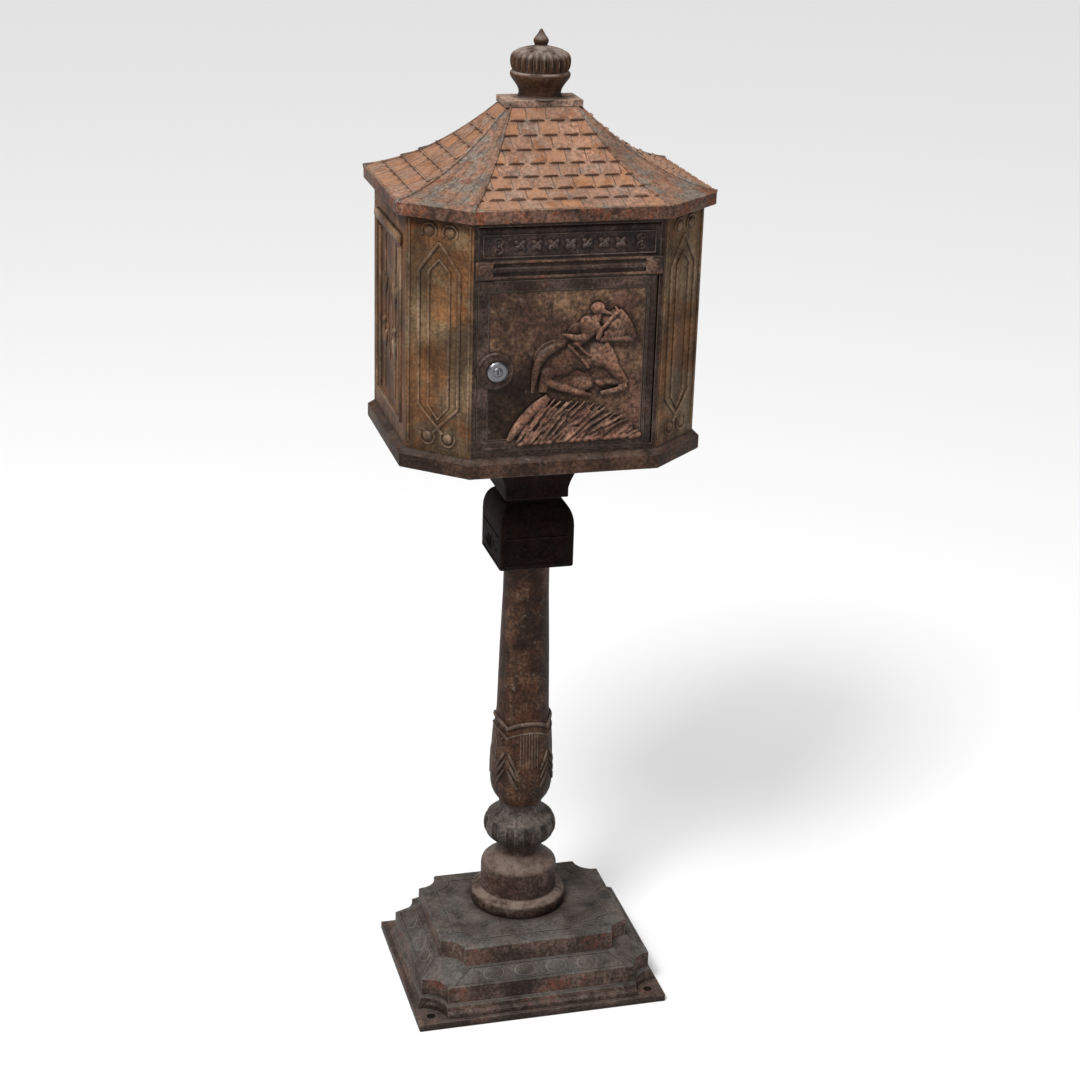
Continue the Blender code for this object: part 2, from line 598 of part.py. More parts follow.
# ---------------------------------------------------------------- door and flap
def make_door():
    """Access door: bordered plate, round lock boss, and a hinge barrel down its right edge."""
    door = block("door", (DOOR_LEFT, DOOR_FACE_Y, DOOR_BOTTOM_Z), (HINGE_X, DOOR_BACK_Y, DOOR_TOP_Z))
    field_right = HINGE_X + HINGE_BARREL_R - DOOR_BORDER
    cut(door, block("door_field", (DOOR_LEFT + DOOR_BORDER, DOOR_FACE_Y - 0.02, DOOR_BOTTOM_Z + DOOR_BORDER),
                    (field_right, DOOR_FIELD_Y, DOOR_TOP_Z - DOOR_BORDER)))
    middle_z = (DOOR_BOTTOM_Z + DOOR_TOP_Z) / 2
    boss_back = DOOR_BACK_Y - 0.001
    fuse(door,
         rod("door_barrel", "Z", (HINGE_X, HINGE_Y, middle_z), HINGE_BARREL_R, DOOR_TOP_Z - DOOR_BOTTOM_Z),
         rod("door_boss", "Y", (LOCK_BOSS_X, (LOCK_BOSS_Y + boss_back) / 2, LOCK_Z),
             LOCK_BOSS_R, boss_back - LOCK_BOSS_Y, 32))
    pin_hole = HINGE_PIN_R + GAP
    cut(door,
        rod("door_lock_hole", "Y", (LOCK_X, DOOR_FACE_Y, LOCK_Z), LOCK_BODY_R + GAP, 0.03),
        rod("door_pin_hole_top", "Z", (HINGE_X, HINGE_Y, DOOR_TOP_Z), pin_hole, 0.020, 16),
        rod("door_pin_hole_low", "Z", (HINGE_X, HINGE_Y, DOOR_BOTTOM_Z), pin_hole, 0.020, 16))
    set_origin(door, (HINGE_X, HINGE_Y, middle_z))
    finish(door, DARK)
    for place, low, high in (
            ("upper", DOOR_TOP_Z - HINGE_PIN_IN_DOOR, TRANSOM_BOTTOM_Z + HINGE_PIN_IN_HEAD),
            ("lower", SILL_TOP_Z - HINGE_PIN_IN_SILL, DOOR_BOTTOM_Z + HINGE_PIN_IN_DOOR)):
        pin = rod(f"door_hinge_pin_{place}", "Z", (HINGE_X, HINGE_Y, (low + high) / 2),
                  HINGE_PIN_R, high - low, 16)
        finish(pin, STEEL, 0.6, 0.8)


def make_letter_flap():
    """The flap over the letter slot, hung from a pin along its top edge."""
    front = -BODY_HALF_Y + 0.0002
    flap = block("letter_flap", (-FLAP_HALF_X, front, FLAP_BOTTOM_Z),
                 (FLAP_HALF_X, front + FLAP_THICK, FLAP_PIN_Z))
    fuse(flap, rod("flap_barrel", "X", (0, FLAP_PIN_Y, FLAP_PIN_Z), FLAP_BARREL_R, 2 * FLAP_HALF_X))
    cut(flap, rod("flap_bore", "X", (0, FLAP_PIN_Y, FLAP_PIN_Z), FLAP_PIN_R + GAP, 0.3, 16))
    set_origin(flap, (0, FLAP_PIN_Y, FLAP_PIN_Z))
    finish(flap, DARK)
    pin = rod("flap_hinge_pin", "X", (0, FLAP_PIN_Y, FLAP_PIN_Z), FLAP_PIN_R, 2 * FLAP_PIN_HALF, 16)
    finish(pin, STEEL, 0.6, 0.8)


# ---------------------------------------------------------------- lock
def make_lock():
    """Cam lock: fixed barrel and nut; the plug, cam and cam screw turn together."""
    seat = LOCK_BOSS_Y - GAP
    face = seat - LOCK_FACE_DEEP
    barrel = turned("lock_barrel", [
        (0.0095, -face), (LOCK_FACE_R, -face - 0.0012), (LOCK_FACE_R, -seat),
        (LOCK_BODY_R, -seat), (LOCK_BODY_R, -LOCK_BACK_Y)], LOCK_PLUG_R + GAP)
    nut_middle = (LOCK_X, DOOR_BACK_Y + GAP + LOCK_NUT_THICK / 2, LOCK_Z)
    nut = rod("lock_nut", "Y", nut_middle, LOCK_NUT_R, LOCK_NUT_THICK, 6)
    cut(nut, rod("lock_nut_bore", "Y", nut_middle, LOCK_BODY_R + GAP, 0.03))
    plug_face = face - 0.0004
    plug_back = LOCK_BACK_Y + 0.0003
    plug = turned("lock_plug", [
        (0.0, -plug_face), (0.0042, -plug_face), (LOCK_PLUG_R, -plug_face - 0.0006),
        (LOCK_PLUG_R, -plug_back), (LOCK_SCREW_R, -plug_back), (LOCK_SCREW_R, -plug_back + 0.008),
        (0.0, -plug_back + 0.008)], None, 24)
    cam_near = plug_back + GAP
    cam_middle = cam_near + CAM_THICK / 2
    cam = rod("lock_cam", "Y", (LOCK_X, cam_middle, LOCK_Z), CAM_WIDTH / 2, CAM_THICK, 24)
    fuse(cam, block("cam_arm", (LOCK_X - CAM_WIDTH / 2 + 0.0005, cam_near, LOCK_Z - CAM_LENGTH),
                    (LOCK_X + CAM_WIDTH / 2 - 0.0005, cam_near + CAM_THICK, LOCK_Z)))
    cut(cam, rod("cam_bore", "Y", (LOCK_X, cam_middle, LOCK_Z), LOCK_SCREW_R, 0.01, 16))
    set_origin(cam, (LOCK_X, cam_middle, LOCK_Z))
    head = cam_near + CAM_THICK + GAP
    screw = turned("lock_cam_screw", [
        (0.0, -head + 0.0095), (SCREW_R, -head + 0.0095), (SCREW_R, -head), (SCREW_HEAD_R, -head),
        (SCREW_HEAD_R - 0.0005, -head - 0.0022), (0.0, -head - 0.0025)], None, 16)
    keyway = block("plug_keyway", (-0.0006, -0.0028, -plug_face - 0.004),
                   (0.0006, 0.0028, -plug_face + 0.01))
    cut(plug, keyway)
    for piece in (barrel, plug, screw, keyway):
        piece.rotation_euler.x = math.radians(90)
        piece.location = (LOCK_X, 0.0, LOCK_Z)
    finish(barrel, CHROME, 0.25, 1.0)
    finish(plug, CHROME, 0.3, 1.0)
    for piece in (nut, cam, screw):
        finish(piece, STEEL, 0.5, 0.9)


# ---------------------------------------------------------------- screws
def screw_piece(name, seat, direction, length):
    """A dome-headed screw: its head sits at seat, its shank runs along direction."""
    piece = turned(name, [
        (0.0, 0.0028), (0.0020, 0.0025), (0.0034, 0.0016), (SCREW_HEAD_R, 0.0),
        (SCREW_R, 0.0), (SCREW_R, -length), (0.0, -length)], None, 16)
    turns = {"-Z": (0, 0, 0), "+Z": (math.pi, 0, 0), "+X": (0, -math.pi / 2, 0), "-X": (0, math.pi / 2, 0)}
    piece.rotation_euler = turns[direction]
    piece.location = seat
    finish(piece, STEEL, 0.6, 0.8)


def make_screws():
    for i, (x, y) in enumerate(lug_spots(), 1):
        screw_piece(f"floor_screw_{i}", (x, y, WALL_BOTTOM_Z + LUG_THICK + GAP), "-Z", 0.0155)
        screw_piece(f"roof_screw_{i}", (x, y, WALL_TOP_Z - LUG_THICK - GAP), "+Z", 0.0155)
    number = 0
    seat = BODY_HALF_X - WALL - GAP - FLANGE_THICK - GAP
    for sign_x in (-1, 1):
        for sign_y in (-1, 1):
            for z in WALL_SCREW_Z:
                number += 1
                direction = "+X" if sign_x > 0 else "-X"
                screw_piece(f"wall_screw_{number}", (sign_x * seat, sign_y * WALL_SCREW_Y, z),
                            direction, 0.0072)


make_base()
make_post()
make_capital_block()
make_tie_rod()
make_box_floor()
make_front_frame()
make_side_wall("left_wall", -1)
make_side_wall("right_wall", 1)
make_back_wall()
make_roof()
make_finial()
make_door()
make_letter_flap()
make_lock()
make_screws()
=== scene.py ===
import math
import random

import bpy
from mathutils import Matrix, Vector


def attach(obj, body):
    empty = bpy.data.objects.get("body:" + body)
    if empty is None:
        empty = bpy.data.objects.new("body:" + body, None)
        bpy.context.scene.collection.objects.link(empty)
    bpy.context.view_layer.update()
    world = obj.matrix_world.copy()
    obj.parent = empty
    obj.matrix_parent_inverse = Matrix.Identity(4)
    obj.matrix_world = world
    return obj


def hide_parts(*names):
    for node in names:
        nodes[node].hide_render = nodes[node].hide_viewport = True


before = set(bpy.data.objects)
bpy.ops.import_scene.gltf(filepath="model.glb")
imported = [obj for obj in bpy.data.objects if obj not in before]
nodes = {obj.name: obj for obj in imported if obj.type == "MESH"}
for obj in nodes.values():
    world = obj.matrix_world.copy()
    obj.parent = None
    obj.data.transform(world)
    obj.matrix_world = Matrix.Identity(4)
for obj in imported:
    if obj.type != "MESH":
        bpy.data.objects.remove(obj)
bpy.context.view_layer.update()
dice = random.Random(11)
print("frame loaded:", len(nodes), "cast and turned parts")


# working habits: pick a piece, choose its faces, finish it with modifiers
def clearAll():
    if bpy.context.mode != "OBJECT":
        bpy.ops.object.mode_set(mode="OBJECT")
    bpy.ops.object.select_all(action="DESELECT")


def pick(piece):
    clearAll()
    piece.select_set(True)
    bpy.context.view_layer.objects.active = piece


def choose(piece, kind, wanted):  # opens edit mode with only the wanted faces or points selected
    pick(piece)
    mesh = piece.data
    for group in (mesh.vertices, mesh.edges, mesh.polygons):
        group.foreach_set("select", [False] * len(group))
    bpy.context.tool_settings.mesh_select_mode = (kind == "VERT", False, kind == "FACE")
    for item in mesh.vertices if kind == "VERT" else mesh.polygons:
        item.select = wanted(item)
    bpy.ops.object.mode_set(mode="EDIT")


def leaveEdit():
    bpy.ops.object.mode_set(mode="OBJECT")


def settle(piece):  # the place goes into the mesh
    pick(piece)
    bpy.ops.object.transform_apply(location=True, rotation=True, scale=True)
    return piece


def modify(piece, kind, **settings):
    pick(piece)
    modifier = piece.modifiers.new(kind.lower(), kind)
    for key, value in settings.items():
        setattr(modifier, key, value)
    bpy.ops.object.modifier_apply(modifier=modifier.name)
    return piece


def soften(piece, width, segments=2, angle=32):
    return modify(piece, "BEVEL", width=width, segments=segments, limit_method="ANGLE",
                  angle_limit=math.radians(angle), harden_normals=False)


def carve(piece, tool, operation="DIFFERENCE"):
    modify(piece, "BOOLEAN", object=tool, operation=operation, solver="EXACT")
    bpy.data.objects.remove(tool, do_unlink=True)
    return piece


def joined(name, parts):
    clearAll()
    for part in parts:
        part.select_set(True)
    bpy.context.view_layer.objects.active = parts[0]
    if len(parts) > 1:
        bpy.ops.object.join()
    piece = bpy.context.object
    piece.name = name
    return settle(piece)


def squareUp(piece, gap=0.00001):  # doubles merged, faces outwards
    choose(piece, "FACE", lambda face: True)
    bpy.ops.mesh.remove_doubles(threshold=gap)
    bpy.ops.mesh.normals_make_consistent(inside=False)
    leaveEdit()
    return piece


def smoothed(piece, angle=35):
    pick(piece)
    bpy.ops.object.shade_smooth_by_angle(angle=math.radians(angle))
    return piece


def duplicate(piece, place=None):
    copy = piece.copy()
    copy.data = piece.data.copy()
    bpy.context.scene.collection.objects.link(copy)
    if place is not None:
        copy.data.transform(place)
    return copy


def castingFrom(node, name):  # a merged copy of a cast part, ready to be dressed
    piece = duplicate(nodes[node])
    for key in list(piece.keys()):
        del piece[key]
    piece.parent = None
    piece.name = name
    piece.data.materials.clear()
    choose(piece, "FACE", lambda face: True)
    bpy.ops.mesh.remove_doubles(threshold=0.00001)
    bpy.ops.mesh.dissolve_limited(angle_limit=math.radians(0.6))
    leaveEdit()
    return piece


def block(low, high, edge=0.0):
    clearAll()
    size = [top - bottom for bottom, top in zip(low, high)]
    middle = [(top + bottom) / 2 for bottom, top in zip(low, high)]
    bpy.ops.mesh.primitive_cube_add(size=1, location=middle, scale=size)
    piece = settle(bpy.context.object)
    return soften(piece, edge) if edge else piece


def rod(centre, radius, depth, axis="Y", sides=32):
    clearAll()
    turn = {"X": (0, math.pi / 2, 0), "Y": (math.pi / 2, 0, 0), "Z": (0, 0, 0)}[axis]
    bpy.ops.mesh.primitive_cylinder_add(vertices=sides, radius=radius, depth=depth,
                                        location=centre, rotation=turn)
    return settle(bpy.context.object)


def egg(centre, size, turn=(0, 0, 0), sides=18):
    clearAll()
    bpy.ops.mesh.primitive_uv_sphere_add(segments=sides, ring_count=sides // 2, radius=1,
                                         location=centre, rotation=turn, scale=size)
    return settle(bpy.context.object)


def bead(points, thick, rounding=2, kind="POLY", closed=False):  # points are (place, share of thick)
    clearAll()
    bpy.ops.curve.primitive_nurbs_path_add(location=(0, 0, 0))
    piece = bpy.context.object
    line = piece.data
    line.splines.clear()
    path = line.splines.new(kind)
    path.points.add(len(points) - 1)
    for point, (place, share) in zip(path.points, points):
        point.co = (*place, 1)
        point.radius = share
    if kind == "NURBS":
        path.order_u = 3
        path.use_endpoint_u = True
        path.resolution_u = 6
    path.use_cyclic_u = closed
    line.bevel_depth = thick
    line.bevel_resolution = rounding
    line.use_fill_caps = True
    bpy.ops.object.convert(target="MESH")
    return squareUp(bpy.context.object)


def evenBead(places, thick, **more):
    return bead([(place, 1) for place in places], thick, **more)


def turnedPiece(name, profile, sides):  # profile is (radius, height) from end to end
    clearAll()
    bpy.ops.mesh.primitive_circle_add(vertices=sides, radius=profile[0][0],
                                      location=(0, 0, profile[0][1]), fill_type="NOTHING")
    piece = settle(bpy.context.object)
    piece.name = name
    choose(piece, "VERT", lambda point: True)
    for (radius, height), (nextRadius, nextHeight) in zip(profile, profile[1:]):
        bpy.ops.mesh.extrude_region_move(
            TRANSFORM_OT_translate={"value": (0, 0, nextHeight - height)})
        ratio = nextRadius / radius
        bpy.ops.transform.resize(value=(ratio, ratio, 1), center_override=(0, 0, nextHeight))
    leaveEdit()
    return squareUp(piece, 0.00003)


def place(piece, body, finish, *stands):  # body, finish and the parts it stands for
    piece.data.materials.clear()
    piece.data.materials.append(finishes[finish])
    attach(piece, body)
    if stands:
        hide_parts(*stands)
    return piece


# a casting with its edges softened, which stands for its node
def castPiece(node, name, finish, edge, segments=2, angle=34, smooth=35, body="root"):
    piece = soften(castingFrom(node, name), edge, segments, angle)
    return place(smoothed(piece, smooth), body, finish, node)


def trimPiece(name, parts, finish, smooth=60, body="root"):  # parts joined into one piece of trim
    return place(smoothed(joined(name, parts), smooth), body, finish)


def paintFaces(piece, finish, wanted):  # some faces of a casting wear another finish
    piece.data.materials.append(finishes[finish])
    number = len(piece.data.materials) - 1
    for face in piece.data.polygons:
        if wanted(face):
            face.material_index = number


# shader effects shared by all the old iron
def addNode(tree, kind, wires=None, **settings):
    node = tree.nodes.new(kind)
    for key, value in settings.items():
        setattr(node, key, value)
    for socket, source in (wires or {}).items():
        if isinstance(source, bpy.types.NodeSocket):
            tree.links.new(source, node.inputs[socket])
        else:
            node.inputs[socket].default_value = source
    return node


def mixColour(tree, share, first, second, blend="MIX"):
    return addNode(tree, "ShaderNodeMix", {0: share, 6: first, 7: second},
                   data_type="RGBA", blend_type=blend).outputs[2]


def spread(tree, value, low, high, toLow=0.0, toHigh=1.0):
    return addNode(tree, "ShaderNodeMapRange",
                   {"Value": value, "From Min": low, "From Max": high, "To Min": toLow,
                    "To Max": toHigh}, interpolation_type="SMOOTHSTEP").outputs["Result"]


def sums(tree, operation, first, second):
    return addNode(tree, "ShaderNodeMath", {0: first, 1: second}, operation=operation).outputs[0]


def grain(tree, vector, scale, detail=5.0, rough=0.6, twist=0.0):
    return addNode(tree, "ShaderNodeTexNoise",
                   {"Vector": vector, "Scale": scale, "Detail": detail, "Roughness": rough,
                    "Distortion": twist}).outputs["Fac"]


def newEffect(name, inputs, outputs):
    tree = bpy.data.node_groups.new(name, "ShaderNodeTree")
    for title, kind, value in inputs:
        socket = tree.interface.new_socket(name=title, in_out="INPUT", socket_type=kind)
        if value is not None:
            socket.default_value = value
    for title in outputs:
        tree.interface.new_socket(name=title, in_out="OUTPUT", socket_type="NodeSocketFloat")
    return tree, tree.nodes.new("NodeGroupInput").outputs, tree.nodes.new("NodeGroupOutput").inputs


vectorKind, numberKind = "NodeSocketVector", "NodeSocketFloat"


def makeRustBloom():  # blotches of rust with crumbling rims
    tree, given, out = newEffect("rustBloom", [("Vector", vectorKind, None), ("Scale", numberKind, 14.0),
                                               ("Amount", numberKind, 0.5)], ["Mask", "Shade"])
    wide = grain(tree, given["Vector"], given["Scale"], 7.0, 0.66, 0.5)
    fine = grain(tree, given["Vector"], sums(tree, "MULTIPLY", given["Scale"], 9.0), 5.0, 0.7)
    both = sums(tree, "ADD", wide, sums(tree, "MULTIPLY", sums(tree, "SUBTRACT", fine, 0.5), 0.35))
    low = spread(tree, given["Amount"], 0.0, 1.0, 0.76, 0.30)
    mask = addNode(tree, "ShaderNodeMapRange", {"Value": both, "From Min": low,
                                                "From Max": sums(tree, "ADD", low, 0.11)},
                   interpolation_type="SMOOTHSTEP").outputs["Result"]
    tree.links.new(mask, out["Mask"])
    tree.links.new(spread(tree, fine, 0.34, 0.68), out["Shade"])
    return tree


def makeCastPits():  # sand-cast grain, scale and pits, as a height
    tree, given, out = newEffect("castPits", [("Vector", vectorKind, None), ("Scale", numberKind, 300.0)],
                                 ["Height", "Pit"])
    rough = grain(tree, given["Vector"], given["Scale"], 6.0, 0.7)
    scale = grain(tree, given["Vector"], sums(tree, "MULTIPLY", given["Scale"], 0.22), 4.0, 0.6)
    cell = addNode(tree, "ShaderNodeTexVoronoi", {
        "Vector": given["Vector"], "Scale": sums(tree, "MULTIPLY", given["Scale"], 0.55),
        "Randomness": 1.0}).outputs["Distance"]
    pit = spread(tree, cell, 0.06, 0.30)
    body = sums(tree, "ADD", sums(tree, "MULTIPLY", rough, 0.45), sums(tree, "MULTIPLY", scale, 0.75))
    tree.links.new(sums(tree, "ADD", body, sums(tree, "MULTIPLY", pit, 0.22)), out["Height"])
    tree.links.new(spread(tree, pit, 1.0, 0.0), out["Pit"])
    return tree


def makeRainRuns():  # dark runs that rain has drawn down the sides
    tree, given, out = newEffect("rainRuns", [("Vector", vectorKind, None), ("Amount", numberKind, 0.4)],
                                 ["Mask"])
    drawn = addNode(tree, "ShaderNodeMapping", {"Vector": given["Vector"], "Scale": (75, 75, 7)})
    run = grain(tree, drawn.outputs["Vector"], 1.0, 5.0, 0.6)
    tree.links.new(sums(tree, "MULTIPLY", spread(tree, run, 0.44, 0.66), given["Amount"]), out["Mask"])
    return tree


def makeHeldDirt():  # painted shade and grime in hollows found by ambient occlusion, rubbed metal on corners that stand out
    tree, given, out = newEffect("heldDirt", [("Vector", vectorKind, None), ("Reach", numberKind, 0.015)],
                                 ["Dirt", "Edge"])
    hollow = addNode(tree, "ShaderNodeAmbientOcclusion", {"Distance": given["Reach"]}, samples=6)
    breakUp = grain(tree, given["Vector"], 150.0, 4.0, 0.6)
    shut = sums(tree, "SUBTRACT", 1.0, hollow.outputs["AO"])
    shadeAndDirt = spread(tree, sums(tree, "MULTIPLY", shut, sums(tree, "ADD", breakUp, 0.5)), 0.08, 0.50)
    tree.links.new(shadeAndDirt, out["Dirt"])
    rounded = addNode(tree, "ShaderNodeBevel", {"Radius": 0.0016}, samples=4)
    facing = addNode(tree, "ShaderNodeNewGeometry")
    turn = addNode(tree, "ShaderNodeVectorMath", {0: rounded.outputs[0], 1: facing.outputs["Normal"]},
                   operation="DOT_PRODUCT").outputs["Value"]
    worn = sums(tree, "ADD", sums(tree, "SUBTRACT", 1.0, turn),
                sums(tree, "MULTIPLY", sums(tree, "SUBTRACT", breakUp, 0.55), 0.25))
    tree.links.new(spread(tree, worn, 0.02, 0.16), out["Edge"])
    return tree


def makeFallenDust():  # pale dust on what faces up
    tree, given, out = newEffect("fallenDust", [("Vector", vectorKind, None), ("Normal", vectorKind, None),
                                                ("Amount", numberKind, 0.5)], ["Mask"])
    upward = addNode(tree, "ShaderNodeSeparateXYZ", {0: given["Normal"]}).outputs["Z"]
    patch = grain(tree, given["Vector"], 60.0, 5.0, 0.65)
    lying = sums(tree, "MULTIPLY", spread(tree, upward, 0.15, 0.95), spread(tree, patch, 0.30, 0.62))
    tree.links.new(sums(tree, "MULTIPLY", lying, given["Amount"]), out["Mask"])
    return tree


effects = {"rust": makeRustBloom(), "pits": makeCastPits(), "runs": makeRainRuns(),
           "shadeAndDirt": makeHeldDirt(), "dust": makeFallenDust()}


def useEffect(tree, effect, **wires):
    node = addNode(tree, "ShaderNodeGroup", node_tree=effects[effect])
    for title, source in wires.items():
        if isinstance(source, bpy.types.NodeSocket):
            tree.links.new(source, node.inputs[title])
        else:
            node.inputs[title].default_value = source
    return node.outputs


def colour(red, green, blue):
    return (red, green, blue, 1.0)


def newFinish(name):
    made = bpy.data.materials.new(name)
    made.use_nodes = True
    where = addNode(made.node_tree, "ShaderNodeTexCoord").outputs
    return made, made.node_tree, made.node_tree.nodes["Principled BSDF"], where


def ironFinish(name, look):  # look holds the colours and how much of each
    made, tree, shader, where = newFinish(name)
    at = where["Object"]

    def patches(size, detail, rough, twist, low, high, *values):
        return spread(tree, grain(tree, at, size, detail, rough, twist), low, high, *values)

    def swing(amount):  # from darker to lighter by this share
        return 1.0 - amount, 1.0 + amount

    def shaded(coat, shade):
        return mixColour(tree, 1.0, coat, shade, "MULTIPLY")

    def covered(coat, mask, tone, most=None):  # another of the look's colours where the mask is
        share = mask if most is None else sums(tree, "MULTIPLY", mask, most)
        return mixColour(tree, share, coat, colour(*look[tone]))

    coat = mixColour(tree, patches(look["mottle"], 6.0, 0.65, 0.3, 0.44, 0.58),
                     colour(*look["paint"]), colour(*look["second"]))
    coat = shaded(coat, patches(260.0, 4.0, 0.65, 0.0, 0.34, 0.66, *swing(look["fleck"])))
    coat = shaded(coat, patches(16.0, 5.0, 0.6, 0.4, 0.36, 0.64, *swing(look["stain"])))
    if "darkNearSpot" in look:  # darker near a spot: the spot, then the multiplier at it and away from it
        away = addNode(tree, "ShaderNodeVectorMath", {0: at, 1: look["darkNearSpot"][0]}, operation="DISTANCE")
        coat = shaded(coat, spread(tree, away.outputs["Value"], *look["darkNearSpot"][1:]))
    if "under" in look:  # painted light: undersides painted darker, what faces up painted paler, as if lit from above
        upward = addNode(tree, "ShaderNodeSeparateXYZ", {"Vector": where["Normal"]}).outputs["Z"]
        coat = shaded(coat, spread(tree, upward, -0.55, 0.55, look["under"], 2.0 - look["under"]))
    if "proudWearAndDepthShade" in look:  # what stands forward is painted lighter and what lies back darker: rubbed high points and painted shade in the depths
        forward = addNode(tree, "ShaderNodeSeparateXYZ", {"Vector": at}).outputs["Y"]
        coat = shaded(coat, spread(tree, forward, *look["proudWearAndDepthShade"]))
    if "tint" in look:  # each shingle has its own shade
        ownShade = addNode(tree, "ShaderNodeAttribute", attribute_name="ownShade").outputs["Fac"]
        coat = covered(coat, ownShade, "tint")
    coat = covered(coat, useEffect(tree, "runs", Vector=at, Amount=look["runs"])["Mask"], "dark")
    bloom = useEffect(tree, "rust", Vector=at, Scale=look["rustSize"], Amount=look["rustShare"])
    deepRust = colour(*[part * 0.3 for part in look["rust"]])
    coat = mixColour(tree, bloom["Mask"], coat,
                     mixColour(tree, bloom["Shade"], deepRust, colour(*look["rust"])))
    coat = covered(coat, patches(look["speckSize"], 9.0, 0.72, 0.5, 0.53, 0.60), "dark", look["specks"])
    coat = covered(coat, patches(look["speckSize"] * 0.8, 9.0, 0.72, 1.3, 0.58, 0.66), "bare",
                   look["crumbs"])
    held = useEffect(tree, "shadeAndDirt", Vector=at)
    # painted shade and grime: darker where ambient occlusion finds hollows
    coat = covered(coat, held["Dirt"], "dark", look["grimeAndHollowShade"])
    dust = useEffect(tree, "dust", Vector=at, Normal=where["Normal"], Amount=look["dustShare"])
    coat = covered(coat, dust["Mask"], "dust")
    coat = covered(coat, held["Edge"], "bare", look["rubbed"])
    pits = useEffect(tree, "pits", Vector=at, Scale=look["pitSize"])
    tree.links.new(covered(coat, pits["Pit"], "dark", 0.4), shader.inputs["Base Color"])
    gloss = sums(tree, "ADD", look["roughness"], sums(tree, "MULTIPLY", bloom["Mask"], 0.16))
    gloss = sums(tree, "SUBTRACT", gloss, sums(tree, "MULTIPLY", held["Edge"], 0.22))
    tree.links.new(gloss, shader.inputs["Roughness"])
    height = sums(tree, "ADD", pits["Height"], sums(tree, "MULTIPLY", bloom["Mask"], look["flake"]))
    bump = addNode(tree, "ShaderNodeBump", {"Height": height, "Strength": look["bump"],
                                            "Distance": 0.0012})
    tree.links.new(bump.outputs["Normal"], shader.inputs["Normal"])
    shader.inputs["Specular IOR Level"].default_value = look["sheen"]
    return made


def metalFinish(name, tone, dullTone, roughness, spotShare):
    made, tree, shader, where = newFinish(name)
    at = where["Object"]
    bloom = useEffect(tree, "rust", Vector=at, Scale=130.0, Amount=spotShare)
    scuff = grain(tree, at, 900.0, 3.0, 0.6)
    tree.links.new(mixColour(tree, bloom["Mask"], colour(*tone), colour(*dullTone)),
                   shader.inputs["Base Color"])
    shine = sums(tree, "ADD", spread(tree, scuff, 0.3, 0.7, roughness - 0.08, roughness + 0.12),
                 sums(tree, "MULTIPLY", bloom["Mask"], 0.3))
    tree.links.new(shine, shader.inputs["Roughness"])
    bump = addNode(tree, "ShaderNodeBump", {"Height": scuff, "Strength": 0.15, "Distance": 0.0004})
    tree.links.new(bump.outputs["Normal"], shader.inputs["Normal"])
    shader.inputs["Metallic"].default_value = 1.0
    return made


